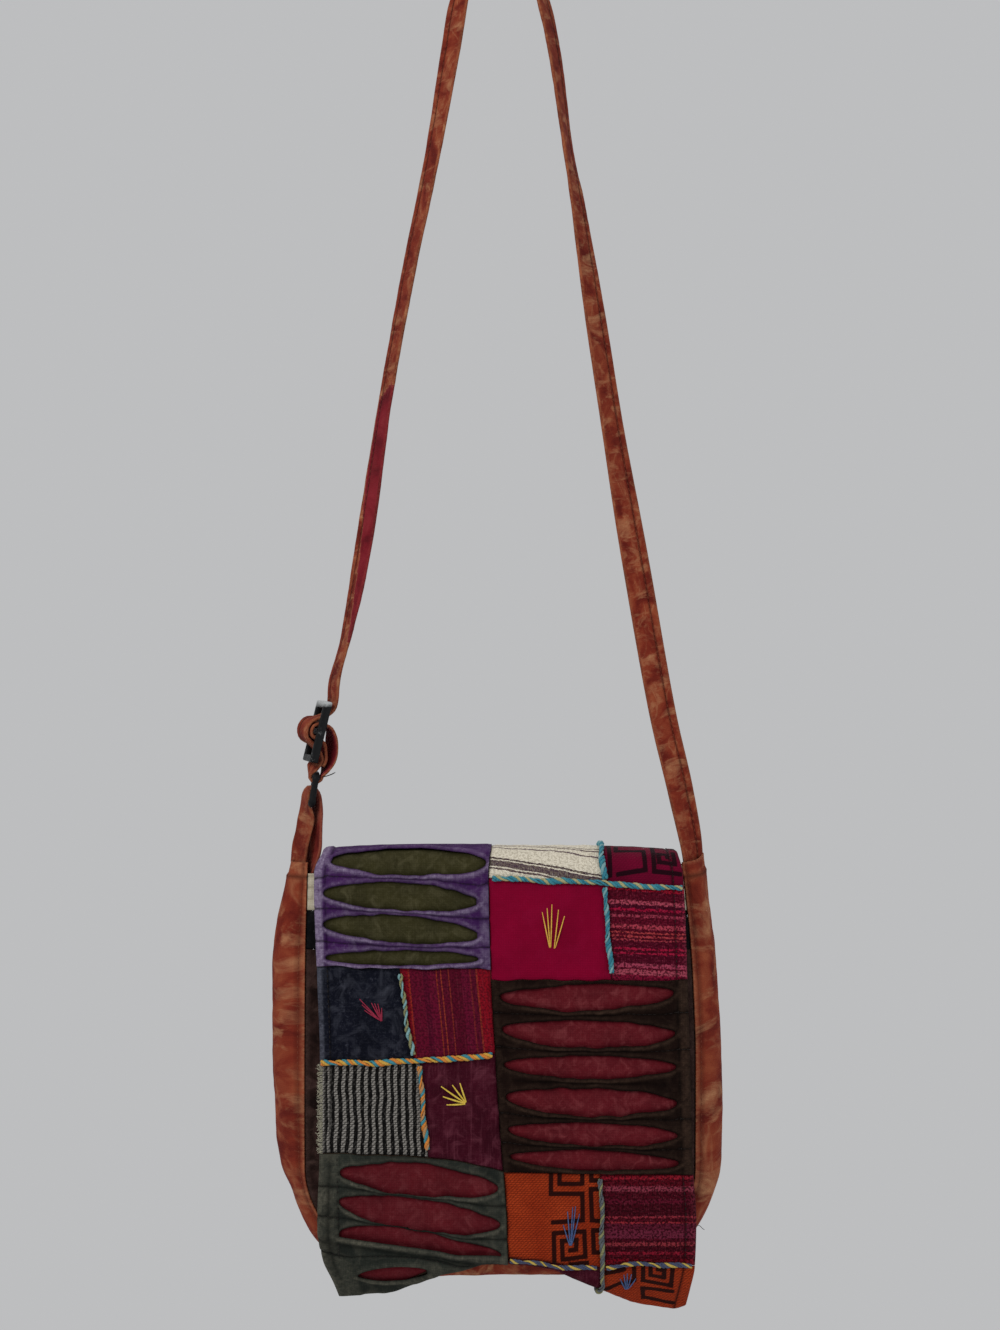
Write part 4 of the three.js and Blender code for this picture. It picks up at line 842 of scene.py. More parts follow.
def slitPatch(patch, material):
    lenses = slitLenses(patch)
    top, bottom = acrossJoint(patch["top"]), acrossJoint(patch["bottom"])
    first, last = patch["tips"]
    half = flap["seamGap"] / 2
    columns = [first * k / 4 for k in range(4)]
    columns += [first + (last - first) * (1 - cos(pi * k / 64)) / 2 for k in range(65)]
    columns += [last + (1 - last) * k / 4 for k in range(1, 5)]
    # rows: bands of cloth with a lens between each two
    limits = [lambda c: top(patchAcross(patch, c, patch["slits"][0][2])) + half]
    for lens in lenses:
        limits += [lambda c, lens=lens: lens["edge"](c, -1), lambda c, lens=lens: lens["edge"](c, 1)]
    limits.append(lambda c: bottom(patchAcross(patch, c, 320)) - half)
    rows = []
    lensRows = {}
    for k in range(len(lenses) + 1):
        above, below = limits[2 * k], limits[2 * k + 1]
        steps = clamp(round((below(0.3) - above(0.3)) / 0.75), 10, 44)
        rows += [(above, below, n / steps) for n in range(steps + 1)]
        lensRows[len(rows) - 1] = k

    def keep(a, b):
        row = int(b * (len(rows) - 1))
        if row not in lensRows or lensRows[row] >= len(lenses):
            return True
        i = int(a * (len(columns) - 1))
        start, stop = lenses[lensRows[row]]["tips"]
        return columns[i] < start - 1e-6 or columns[i + 1] > stop + 1e-6

    def place(a, b):
        c = columns[round(a * (len(columns) - 1))]
        above, below, share = rows[round(b * (len(rows) - 1))]
        s = mix(above(c), below(c), share)
        u = patchAcross(patch, c, s)
        x = acrossFlap(u, s)
        wide = patchWide(patch, s)
        away = awayFromLens(lenses, c, s, wide)
        # a rolled lip round each lens, a sewn valley between two lips, and padded pleats beside the tips
        lip = bell(away - 2.0, 1.65) * (0.9 + 0.4 * lump(x, s, 5, 13) + 0.25 * lump(x, s, 15, 4))
        sunk, wear, shade = edgesRelief(patch, u, s, c)
        valley = 99.0
        for upper, lower in zip(lenses, lenses[1:]):
            valley = min(valley, abs(s - (upper["edge"](c, 1) + lower["edge"](c, -1)) / 2))
        nearest = min(lenses, key=lambda lens: abs(s - (lens["edge"](c, -1) + lens["edge"](c, 1)) / 2))
        under = s > (nearest["edge"](c, -1) + nearest["edge"](c, 1)) / 2
        beside = easeStep(max(nearest["tips"][0] - c, c - nearest["tips"][1]) * wide, 0, 4)
        pad = 0.9 * beside * (1 - bell(valley, 2.2))
        off = (flap["slitTop"] + 2.0 * lip + pad - (0.6 + 0.2 * beside) * bell(valley, 1.0)
               + 1.2 * sunk * (1 - 0.8 * lip) + 0.22 * lump(x, s, 1, 9))
        # painted light: a lip below its lens, which faces up, is painted paler than one above it, which
        # overhangs; both are also rubbed pale along their crests
        wear = max(wear, lip * (0.85 if under else 0.3), 0.4 * pad)
        # the right margin is rubbed pale, with painted shade along its sewn line
        if patch["right"] == "rightEdge":
            wear = max(wear, 0.8 * (1 - easeStep((1 - c) * wide, 6.4, 8)))
            shade = max(shade, 0.9 * bell((1 - c) * wide - 8.6, 0.8))
        # painted shade in the sewn valleys and along the lens edges, none on the lip crests
        shade = max(shade * (1 - lip), 0.95 * bell(valley, 0.85), 0.55 * bell(away, 0.7))
        if "foldSlit" in patch:
            # the lip along the crease hangs over it, with a painted shadow below it, and the doubled margin
            # is sewn down beside the tips, with painted shade in its sewn line
            past = s - leanAt(u)
            off += 1.9 * bell(past + 0.6, 2.4) - 0.9 * bell(past - 5, 2.6)
            sewn = bell(x - marginLine(s), 0.9) * (1 - easeStep(s, 288, 296))
            off -= 0.5 * sewn
            shade = max(shade, 0.75 * bell(past - 4.2, 1.9), 0.7 * sewn)
            wear = max(wear, 1.5 * bell((c - 0.055) * wide, 5) * clamp(lump(x, s, 21, 13) + 0.1, 0, 0.6))
        return offFlap(x, s, off), (x, s), dict(wear=wear, shade=shade, ink=9.0)

    piece = clothPiece(patch["name"] + "_cloth", len(columns) - 1, len(rows) - 1, place, 0.8, material, keep)
    dress(piece, patch["slot"], patch["name"])


# the second cloth behind the slits: it swells a little into each lens
def slitUnderlay(patch, material):
    lenses = slitLenses(patch)
    top, bottom = acrossJoint(patch["top"]), acrossJoint(patch["bottom"])
    margin = 1.5
    start = 0 if patch["top"] == "backSeam" else None
    onHem = "hemSlit" in patch

    def limits(u):
        upper = top(u) + margin if start is None else start
        lower = bottom(u) - margin
        if onHem:
            lower = min(lower, max(lookUp(flap["hem"], acrossFlap(u, 318), 3) + 2, leanAt(u) + 2))
        return upper, lower

    def where(a, b):
        s = mix(*limits(patchAcross(patch, a, 200)), b)
        for _ in range(3):
            u = patchAcross(patch, a, s)
            s = mix(*limits(u), b)
        return patchAcross(patch, a, s), s

    def place(a, b):
        a = mix(0.035, 0.985, a)
        u, s = where(a, b)
        x = acrossFlap(u, s)
        # painted shade: a little all over where the patch lies on it, and more along the lens edges under the
        # lips
        swell, shade = -0.4, 0.3
        for lens in lenses:
            upper, lower = lens["edge"](a, -1), lens["edge"](a, 1)
            if upper < s < lower and lens["tips"][0] < a < lens["tips"][1]:
                inside = min(s - upper, lower - s)
                swell = 0.9 * easeStep(inside, 0, 5)
                shade = 0.55 * bell(inside, 1.7)
        off = flap["underTop"] + swell + 0.18 * lump(x, s, 8, 7)
        return offFlap(x, s, off), (x, s), dict(wear=max(0, 0.25 * swell), shade=shade, ink=9.0)

    def keep(a, b):
        if not onHem or a < 0.56:
            return True
        u, s = where(a, b)
        return s < leanAt(u) + 6

    upper, lower = limits(patchAcross(patch, 0.3, 200))
    rows = round((lower - upper) / 1.8)
    piece = clothPiece(patch["under"] + "_cloth", 56, rows, place, 0.8, material, keep)
    dress(piece, patch["underSlot"], patch["under"])


# Cloths of the patches
def cotton(base, dark, worn, deep, dust=0.2, mist=0.15, wash=12, cloud=26, fleck=3, streak=0.0):
    return dict(base=base, dark=dark, worn=worn, deep=deep, dust=dust, mist=mist, wash=wash, cloud=cloud,
                fleck=fleck, thread=1.2, gap=0.28, streak=streak)


purpleCotton = wornCotton("purple overdyed cotton",
                          cotton("#4b265e", "#321644", "#a293ae", "#170724", 0.2, 0.2))
brownCotton = wornCotton("brown overdyed cotton",
                         cotton("#1e110d", "#140a08", "#443329", "#040202", 0.2, 0.3))
greenCotton = wornCotton("grey green overdyed cotton",
                         cotton("#2e322d", "#212421", "#6b685b", "#0b0e0c", 0.22, 0.3))
oliveCotton = wornCotton("olive cotton", cotton("#37341b", "#292714", "#635e45", "#121107", 0.2, 0.45, 10))
maroonCotton = wornCotton("maroon cotton", cotton("#63141e", "#500e17", "#8a4044", "#230509", 0.2, 0.6, 9))
redCotton = wornCotton("red cotton", cotton("#5f141d", "#4d0f17", "#7e3c40", "#1f0508", 0.2, 0.5, 9))
magentaCotton = wornCotton("magenta cotton",
                           cotton("#8c032e", "#7a0227", "#a51f50", "#500119", 0.12, 0.12, 16, 40))
navyCotton = wornCotton("navy cotton",
                        cotton("#141622", "#0e101a", "#585a66", "#06070c", 0.4, 0.5, 13, 17, 2.4))
plumCotton = wornCotton("plum cotton",
                        cotton("#460f20", "#370a18", "#7e4150", "#1b040a", 0.3, 0.5, 12, 24, 2.2, 0.45))
liningCotton = wornCotton("brown lining cotton",
                          cotton("#5a4a3c", "#48392d", "#84725f", "#201812", 0.25, 0.2))
creamCotton = wornCotton("cream cotton", cotton("#cdc4ae", "#b3a88e", "#e6e0d0", "#6e644f", 0.3, 0.3, 12, 18))
creamStripe = stripedWeave("cream striped handloom cotton", dict(
    down=False, twill=False, thread=1.3, gap=0.42, wander=3.4, ragged=1.8, slub=(0.5, 1, 1), heather=0.5,
    worn="#e8e2d2", deep="#8a7f6a",
    stripes=[(-70, "#e3dbc8"), (-48, "#4a3340"), (-46.6, "#e3dbc8"), (-34, "#54404c"), (-31.6, "#e3dbc8"),
             (-30.8, "#4a3340"), (-29.8, "#e3dbc8"), (-9.4, "#4a3340"), (-8.2, "#e3dbc8"), (-6.8, "#4a3340"),
             (-5.4, "#e3dbc8"), (-1.4, "#5b4752"), (-0.3, "#e3dbc8"), (10.6, "#3c2833"), (11.8, "#e3dbc8"),
             (12.8, "#4a3641"), (17, "#e3dbc8"), (18, "#4a3340"), (19, "#e3dbc8"), (40, "#e3dbc8")]))
pinkWeave = stripedWeave("pink striped handloom cotton", dict(
    down=False, twill=False, thread=1.3, gap=0.85, wander=1.8, ragged=3.4, slub=(0.4, 1, 1), heather=0.8,
    worn="#9c3c54", deep="#380211",
    stripes=[(24, "#6a091a"), (26, "#a1132a"), (29.5, "#52071c"), (36, "#a84658"), (39, "#3c051c"),
             (41.5, "#9a1035"), (43.5, "#49051a"), (46, "#9c394d"), (48, "#58071e"), (53, "#a83c4c"),
             (56, "#50051a"), (58, "#a83c3e"), (59.2, "#54071b"), (60.6, "#a43a3e"), (61.8, "#4e051a"),
             (63, "#9e3842"), (64.2, "#4e051c"), (69, "#9e1537"), (70.5, "#49051a"), (72, "#9e1537"),
             (73.5, "#49051c"), (80, "#9c3d54"), (83, "#5c0a22"), (84, "#a24657"), (88, "#7c1030"),
             (95, "#6a091f")]))
wineWeave = stripedWeave("wine striped handloom cotton", dict(
    down=False, twill=False, thread=1.3, gap=0.85, wander=1.8, ragged=3.4, slub=(0.4, 1, 1), heather=0.75,
    worn="#7f3946", deep="#240107",
    stripes=[(226, "#660616"), (231, "#8c1626"), (233.2, "#540515"), (238, "#853444"), (241.5, "#470516"),
             (247, "#580e23"), (250, "#3f0413"), (258.6, "#8c2c38"), (259.8, "#490515"), (262.4, "#8e2730"),
             (263.6, "#561529"), (268, "#662136"), (274, "#490618"), (276.5, "#852d36"), (279, "#3f0513"),
             (283, "#801428"), (285, "#490513"), (288, "#750b1b"), (292, "#4a0211"), (298, "#4a0211")]))
redStripe = stripedWeave("red striped handloom cotton", dict(
    down=True, twill=False, thread=1.8, gap=0.55, wander=0.8, ragged=0.6, slub=(1, 0.12, 1), heather=0.4,
    worn="#853745", deep="#280410",
    stripes=[(-74, "#7e0c1c"), (-62, "#8f2a20"), (-61, "#5f0c26"), (-52, "#520924"), (-48, "#610d29"),
             (-42.3, "#883020"), (-41.4, "#570c23"), (-39.4, "#8f3624"), (-38.4, "#570c23"),
             (-34, "#7d2b21"), (-33, "#520920"), (-25, "#5f0d29"), (-19, "#702024"), (-18, "#570c24"),
             (-14.4, "#882f20"), (-13.4, "#820c1c"), (-2, "#7e0c1c")]))
# light stripes 2.5 mm wide with black ones between them
greyStripe = stripedWeave("grey and black striped twill", dict(
    down=True, twill=True, thread=1.6, gap=0.8, wander=4.5, ragged=0.9, slub=(1, 0.3, 1), heather=0.4,
    worn="#a5a09a", deep="#0f0d0d",
    stripes=[(-131 + 5.2 * (k // 2) + 2.5 * (k % 2), "#0a0909" if k % 2 else "#928e88") for k in range(32)]))
magentaPrint = printedTwill("magenta printed twill", dict(
    base="#72062c", dark="#600524", deep="#3a0315", print="#16050d", gap=0.35, line=1.65))
orangePrint = printedTwill("orange printed twill", dict(
    base="#ad3e1b", dark="#993114", deep="#501509", print="#130607", gap=0.7, line=1.6))

plainPatches = [
    (dict(name="patch_cream_stripe", slot="cream_stripe", left="centre", right="creamFret", top="backSeam",
          bottom="rightFirst", grain=0.16, pucker=2.2), creamStripe),
    (dict(name="patch_magenta_fret", slot="magenta_fret", left="creamFret", right="rightEdge", top="backSeam",
          bottom="rightFirst",
          fret=[[(77.5, -30), (77.5, 22.8)], [(83.2, 21.9), (102.4, 18.6), (101.8, 2.4), (82.2, 4)],
                [(82.6, -3), (82.4, 1)], [(108.5, -24), (108.5, 19.3), (126.6, 20.2)],
                [(122.6, 2.6), (123.3, 13.4), (112.4, 12.5), (112.3, 5.2), (118.4, 5.2), (118.4, 8.2)],
                [(84, -8), (102, -10), (102, -30)], [(112, -6), (124, -6), (124, -30)]]), magentaPrint),
    (dict(name="patch_magenta", slot="magenta_cotton", left="centre", right="magentaPink", top="rightFirst",
          bottom="rightSecond", pucker=0.7), magentaCotton),
    (dict(name="patch_pink_weave", slot="pink_weave", left="magentaPink", right="rightEdge", top="rightFirst",
          bottom="rightSecond", grain=0.04), pinkWeave),
    (dict(name="patch_navy", slot="navy_cotton", left="leftEdge", right="navyRed", top="leftFirst",
          bottom="leftSecond", pucker=2.0), navyCotton),
    (dict(name="patch_red_stripe", slot="red_stripe", left="navyRed", right="centre", top="leftFirst",
          bottom="leftSecond", lean=0.1), redStripe),
    (dict(name="patch_grey_stripe", slot="grey_stripe", left="leftEdge", right="greyPlum", top="leftSecond",
          bottom="leftThird", pucker=1.4), greyStripe),
    (dict(name="patch_plum", slot="plum_cotton", left="greyPlum", right="centre", top="leftSecond",
          bottom="leftThird", pucker=1.5), plumCotton),
    (dict(name="patch_orange_fret", slot="orange_fret", left="centre", right="orangeWine", top="rightThird",
          bottom="lean",
          fret=[[(35.6, 226), (35.4, 243.2), (57.3, 243.2), (57.6, 261.6), (37, 262.8)],
                [(41.6, 226), (41.4, 236.3), (57.3, 236.3), (57.3, 226)],
                [(63.6, 226), (63.6, 234), (70, 234)], [(70, 240), (63.2, 240), (64, 261.5), (70, 262)],
                [(37.8, 294), (37.4, 270.2), (58.6, 269.2), (59.4, 286.4), (43.6, 288.4), (43.1, 275.6),
                 (53.2, 275), (52.9, 281.6), (48.8, 282)],
                [(49, 291.8), (60.4, 290.8)], [(70, 268.4), (64.8, 268.4), (65.2, 283.6), (70, 283.6)]]),
     orangePrint),
    (dict(name="patch_wine_weave", slot="wine_weave", left="orangeWine", right="rightEdge", top="rightThird",
          bottom="lean"), wineWeave),
    (dict(name="hem_plum", slot="plum_cotton", left="centre", right="orangeWine", top="lean", bottom="end"),
     plumCotton),
    (dict(name="hem_orange_fret", slot="orange_fret", left="orangeWine", right="rightEdge", top="lean",
          bottom="end", pucker=1.6,
          fret=[[(99.5, 291), (99.8, 304.4), (119.6, 308.6), (120.2, 291)],
                [(104.6, 291), (105, 299.2), (114.4, 301.8), (114.4, 295), (110, 294.4)],
                [(93, 291), (93.6, 304), (86, 307)],
                [(120.6, 313.6), (99.6, 311.2), (100.6, 320.4), (122, 324.6)],
                [(74, 297), (86, 294.6)], [(74, 310), (84, 306)]]), orangePrint),
]
for patch, material in plainPatches:
    plainPatch(patch, material)
print("plain patches:", len(plainPatches))

slitPatches = [
    dict(name="patch_purple_slits", slot="purple_cotton", under="underlay_olive", underSlot="olive_cotton",
         left="leftEdge", right="centre", top="backSeam", bottom="leftFirst", tips=(0.05, 0.985),
         spans=[(0.08, 0.985), (0.055, 0.94), (0.05, 0.935), (0.055, 0.93)],
         cloths=(purpleCotton, oliveCotton),
         slits=[(11.2, 15.4, 3.5, 23), (34.3, 41.3, 28, 46.6), (56.7, 64.4, 50.8, 69.3),
                (79.8, 80.5, 74.9, 84.6)]),
    dict(name="patch_brown_slits", slot="brown_cotton", under="underlay_maroon", underSlot="maroon_cotton",
         left="centre", right="rightEdge", top="rightSecond", bottom="rightThird", tips=(0.04, 0.925),
         cloths=(brownCotton, maroonCotton),
         slits=[(106.4, 103.6, 98.7, 116.2), (128.8, 131.6, 123.2, 141.4), (153.3, 154.7, 147.7, 163.1),
                (175.7, 179.9, 170.1, 189), (198.1, 202.3, 193.9, 209.3), (217, 221.5, 213.5, 226.4)]),
    dict(name="patch_green_slits", slot="green_cotton", under="underlay_red", underSlot="red_cotton",
         left="leftEdge", right="centre", top="leftThird", bottom="end", tips=(0.115, 0.965),
         cloths=(greenCotton, redCotton), slits=[(228, 239, 222.6, 244.5), (248, 264, 246.5, 268)],
         foldSlit=(11, 1.5), hemSlit=(0.165, 0.57, 30, 15, 5.5)),
]
for patch in slitPatches:
    slitPatch(patch, patch["cloths"][0])
    slitUnderlay(patch, patch["cloths"][1])
print("slit patches:", len(slitPatches))


# the cloth that the patches are sewn to, a little narrower than they are
def flapBase():
    inset = 0.013

    def place(a, b):
        u = mix(inset, 1 - inset, a)
        s = mix(flap["backSeam"], lookUp(acrossJoints["end"], u) - 2, b)
        x = acrossFlap(u, s)
        return offFlap(x, s, flap["baseTop"]), (x, s), dict(wear=0, shade=0, ink=9.0)
    return clothPiece("flap_base_cloth", 90, 190, place, 1.1, liningCotton)


flapCloth = dress(flapBase(), "flap_cloth", "flap_base")

# Twisted cords over the joints: two or three plies of floss, each a helix round the joint's line
floss = {key: spunThread(name, *codes) for key, name, codes in (
    ("teal", "teal cotton floss", ("#27707f", "#549daa")),
    ("straw", "straw cotton floss", ("#948f63", "#bdb88c")),
    ("gold", "gold cotton floss", ("#b98a2c", "#dcb45a")),
    ("orange", "orange cotton floss", ("#c06a22", "#e29a4a")),
    ("blue", "slate blue cotton floss", ("#343a50", "#565f7a")),
    ("yellow", "yellow cotton floss", ("#a98f3a", "#cdb766")),
    ("tan", "tan cotton floss", ("#a3764a", "#c49a6c")),
    ("deepTeal", "deep teal cotton floss", ("#1f6478", "#4593a4")),
    ("mist", "pale teal cotton floss", ("#64949a", "#93b6b6")),
    ("olive", "olive cotton floss", ("#6c6c48", "#9c9b72")),
    ("slate", "slate cotton floss", ("#43474c", "#6c7276")))}
cordLook = dict(ply=1.05, apart=1.15, lay=10.5, off=4.5, step=0.6)
# name, slot, floss of the plies, stoutness, and the cord's line as shares of the flap's width and distances
# down; None is the line where the hem starts to lean
cords = [
    ("cord_cream_fret", "teal_cord", ("teal", "deepTeal", "mist"), 0.95,
     [(0.784, -20), (0.784, -8), (0.784, 4), (0.784, 14), (0.785, 25.6)]),
    ("cord_first_row", "teal_cord", ("teal", "straw", "deepTeal"), 0.95,
     [(0.484, 25), (0.784, 28.4), (0.996, 31)]),
    ("cord_magenta_pink", "teal_cord", ("teal", "deepTeal", "mist"), 0.85,
     [(0.786, 31.5), (0.79, 62), (0.794, 91)]),
    ("cord_navy_red", "grey_cord", ("mist", "olive"), 0.8, [(0.226, 91), (0.238, 120), (0.253, 147.5)]),
    ("cord_second_row", "orange_cord", ("orange", "teal", "gold"), 0.95,
     [(0.006, 152), (0.255, 151), (0.469, 146.6)]),
    ("cord_grey_plum", "orange_cord", ("orange", "teal", "tan"), 0.85,
     [(0.271, 154.6), (0.281, 185), (0.289, 213)]),
    ("cord_orange_wine", "blue_cord", ("slate", "olive", "slate"), 0.8,
     [(0.75, 233), (0.752, 262), (0.75, 285)]),
    ("cord_fold_left", "blue_cord", ("blue", "blue", "yellow"), 0.7,
     [(0.506, None), (0.58, None), (0.66, None), (0.738, None)]),
    ("cord_fold_right", "blue_cord", ("blue", "blue", "yellow"), 0.75,
     [(0.762, None), (0.83, None), (0.91, None), (0.992, None)]),
]


def twistedCord(name, slot, colours, stout, points):
    knots = [(u, leanAt(u) if s is None else s) for u, s in points]
    if name == "cord_orange_wine":
        knots += [(0.75, leanAt(0.75) + past) for past in (0, 6, 12, 18, 24)]
    onCloth = [(acrossFlap(u, s), s) for u, s in knots]
    line = smoothLine(onCloth, 60)
    middles = [(offFlap(x, s, cordLook["off"]), flapOutward(x, s)) for x, s in line]
    plies = []
    for number in range(len(colours)):
        points, radii = [], []
        travelled, since = 0, cordLook["step"]
        for (here, outward), (there, _) in zip(middles, middles[1:]):
            travelled += (there - here).length
            since += (there - here).length
            if since < cordLook["step"]:
                continue
            since = 0
            along = (there - here).normalized()
            aside = along.cross(outward).normalized()
            uneven = 2.2 * lump(travelled, 0, 5, 13)
            turn = 2 * pi * (travelled / cordLook["lay"] + number / len(colours)) + uneven
            sway = aside * lump(travelled, len(name), 8, 18) * 1.2
            apart = stout * cordLook["apart"] * (1 + 0.45 * lump(travelled, 2, number, 7))
            points.append(here + sway + (outward * cos(turn) + aside * sin(turn)) * apart)
            radii.append(stout * cordLook["ply"] * (1 + 0.5 * lump(travelled, 4, number, 8)))
        plies.append((points, radii, number))
    piece = threadPiece(name + "_twist", plies, [floss[key] for key in colours])
    dress(piece, slot, name)


for cord in cords:
    twistedCord(*cord)
print("twisted cords:", len(cords))


# Embroidered tufts: a few straight strands of floss that fan out; feet and tips of the strands on the flap
tuftFloss = dict(
    gold=spunThread("gold embroidery floss", "#d09a2e", "#efc766"),
    red=spunThread("red embroidery floss", "#7c1430", "#a83a52"),
    lemon=spunThread("lemon embroidery floss", "#c9a62c", "#e8d068"),
    blue=spunThread("blue embroidery floss", "#2f4470", "#5c739f"))
tufts = [
    ("tuft_gold", "orange_cord", "gold", 0.42,
     [(34.6, 72.6), (35, 72.9), (35.5, 72.5), (37.9, 73.4), (38.6, 73)],
     [(29.6, 48.4), (33, 45.6), (36.4, 43), (41, 46.7), (45.2, 51)]),
    ("tuft_red", "red_cotton", "red", 0.45, [(-83.3 + 0.15 * k, 123.4) for k in range(7)],
     [(-98.2, 108.3), (-96.4, 112.3), (-94.6, 116.2), (-89.8, 111), (-87.6, 111.4), (-85.3, 111.6),
      (-82.6, 114.6)]),
    ("tuft_lemon", "orange_cord", "lemon", 0.6,
     [(-24.2, 180.2), (-23.9, 179.8), (-23.6, 179.4), (-24.3, 180.4), (-24.2, 180.8)],
     [(-41.1, 168.7), (-33.3, 167.7), (-28, 166.4), (-39.8, 175.8), (-37.2, 181.5)]),
    ("tuft_blue", "blue_cord", "blue", 0.42, [(48.4 + 0.35 * k, 278.6) for k in range(5)],
     [(44, 264.6), (47, 255.4), (50.6, 252.4), (52.6, 251.8), (55.4, 257)]),
    ("tuft_blue_hem", "blue_cord", "blue", 0.42, [(87.2 + 0.4 * k, 311.6) for k in range(5)],
     [(83.4, 302), (86, 298.4), (88.4, 297.6), (91.4, 298.4), (94.6, 302.4)]),
]
for name, slot, colour, thick, feet, tips in tufts:
    strands = []
    for foot, tip in zip(feet, tips):
        points, radii = [], []
        for n in range(9):
            share = n / 8
            x, s = mix(foot[0], tip[0], share), mix(foot[1], tip[1], share)
            points.append(offFlap(x, s, flap["patchTop"] + 0.3 + 0.8 * sin(pi * share) - 0.3 * share))
            radii.append(thick * (0.75 + 0.35 * sin(pi * min(1, share * 1.1))))
        strands.append((points, radii, 0))
    dress(threadPiece(name, strands, [tuftFloss[colour]]), slot)
print("tufts:", len(tufts))

# Stitches on the flap: along the middle of each band between slits, and down both edges
darkThread = spunThread("dark sewing thread", "#15100f", "#2c2422")


def flapRun(points, off):
    return [(offFlap(x, s, off), flapOutward(x, s)) for x, s in points]


for patch in slitPatches:
    lenses = slitLenses(patch)
    runs = []
    for upper, lower in zip(lenses, lenses[1:]):
        points = []
        for n in range(101):
            c = n / 100
            s = (upper["edge"](c, 1) + lower["edge"](c, -1)) / 2
            points.append((acrossFlap(patchAcross(patch, c, s), s), s))
        runs.append(flapRun(points, flap["slitTop"] - 0.62))
    stitches = sewnStitches(patch["name"] + "_stitches", runs, darkThread,
                            long=3.2, gap=0.5, half=0.22, high=0.14)
    dress(stitches, patch["slot"])
edgeRuns = []
for side, inset in ((0, 7.5), (1, -7.5)):
    points = [(acrossFlap(side, s) + inset, s) for s in range(-50, 290, 2) if side > 0 or s < 214]
    edgeRuns.append(flapRun(points, flap["patchTop"] + 0.1))
dress(sewnStitches("flap_edge_stitches", edgeRuns, darkThread, gap=0.9), "flap_cloth")
# the stitching down the left side of the green patch, where its margin is doubled
marginRun = flapRun([(marginLine(s), s) for s in range(217, 292, 2)], flap["slitTop"] + 0.5)
dress(sewnStitches("green_margin_stitches", [marginRun], darkThread), "green_cotton")
print("flap stitches done")

# The pouch: half depth, right seam and outward swell of the gusset by height; a row of swell has the left
# side, the right side, and how far the right side's back edge stands further out
pouch = dict(
    top=-650, backTop=-652, gussetTop=-648, cornerTop=-862, bottom=-930, leftSeam=-137.5, gap=0.4,
    frontCrown=5, backCrown=1.5, bandBottom=-681.5, zipBottom=-708, flatWide=270,
    depth=[(-930, 17.5), (-905, 22.5), (-860, 28.5), (-800, 30.5), (-740, 28), (-700, 23), (-670, 16.5),
           (-650, 13), (-640, 12)],
    rightSeam=[(-862, 137.5), (-780, 137.5), (-735, 136.3), (-704, 134.8), (-675, 132.5), (-650, 130.3)],
    swell=[(-930, 16, 16, 0), (-912, 16.2, 19, 0), (-880, 14.6, 19.2, 0), (-862, 20.2, 21.2, 0),
           (-830, 23.6, 22.2, 0), (-790, 25.8, 21.6, 0), (-740, 25.8, 20.6, 0), (-706, 24.5, 18, 1.5),
           (-687, 22, 16, 4.5), (-660, 16.2, 12, 10), (-648, 13.4, 10, 12)],
)
cornerRadius = pouch["cornerTop"] - pouch["bottom"]
rustLook = dict(base="#7a2d1e", dark="#601d16", pale="#964c31", worn="#b9855f", deep="#2b0b07", cloud=26,
                crease=42, lie=(1, 0.5, 1), slant=0.6, fine=0.03, lines=0.45, bands=15, banded=0.85,
                gather=(0.42, 0.85, 1))
rustCanvas = stonewashedCanvas("rust stonewashed canvas", rustLook)
backCanvas = stonewashedCanvas("rust stonewashed back canvas", dict(
    rustLook, pale="#89402a", banded=0.28, bands=24, lines=0.35))
strapCanvas = stonewashedCanvas("rust stonewashed strap canvas", dict(
    rustLook, bands=9, banded=0.8, gather=(0.4, 0.85, 1), cloud=17, crease=16))
shadedCanvas = stonewashedCanvas("dark rust canvas", dict(
    rustLook, base="#7a2a22", dark="#5e1a17", pale="#8c4434", worn="#b07a60", banded=0.35, cloud=17))
crimsonCanvas = stonewashedCanvas("crimson unfaded canvas", dict(
    rustLook, base="#741722", dark="#5a0f19", pale="#86242e", worn="#a05048", deep="#26060b", lines=0.15,
    banded=0.1))
brownCanvas = stonewashedCanvas("brown stonewashed canvas", dict(
    rustLook, base="#281916", dark="#190e0c", pale="#3e2b28", worn="#5e4842", deep="#070303",
    cloud=14, crease=18, lines=0.35, bands=9, banded=0.6))
rustThread = spunThread("rust sewing thread", "#5e2418", "#8a4630")


def seamAt(side, z):
    straight = pouch["leftSeam"] if side < 0 else lookUp(pouch["rightSeam"], z)
    below = max(0, pouch["cornerTop"] - z)
    return straight - side * (cornerRadius - sqrt(max(0, cornerRadius ** 2 - below ** 2)))


# where the front seam of the gusset is after a distance from its left top end, and which way is out
sideLong = pouch["gussetTop"] - pouch["cornerTop"]
cornerLong = cornerRadius * pi / 2
bottomLong = 2 * (-pouch["leftSeam"] - cornerRadius)
gussetLong = 2 * (sideLong + cornerLong) + bottomLong


def gussetStation(t):
    side = -1 if t < gussetLong / 2 else 1
    down = min(t, gussetLong - t)
    half = -pouch["leftSeam"] - cornerRadius
    if down < sideLong:
        z = pouch["gussetTop"] - down
        return seamAt(side, z), z, side, 0
    angle = (down - sideLong) / cornerRadius
    if angle < pi / 2:
        return (side * (half + cornerRadius * cos(angle)), pouch["cornerTop"] - cornerRadius * sin(angle),
                side * cos(angle), -sin(angle))
    return side * (half - (down - sideLong - cornerLong)), pouch["bottom"], 0, -1


def gussetFace(t, w):
    x, z, nx, nz = gussetStation(t)
    left, right, skew = (lookUp(pouch["swell"], z, column) for column in (1, 2, 3))
    side = easeStep(t, gussetLong / 2 - 40, gussetLong / 2 + 40)
    out = pouch["gap"] + mix(left, right, side) * (1 - abs(w) ** 3)
    if nx > 0:
        out += skew * (w + 1) / 2
    return Vector((x + nx * out, w * lookUp(pouch["depth"], z), z + nz * out))


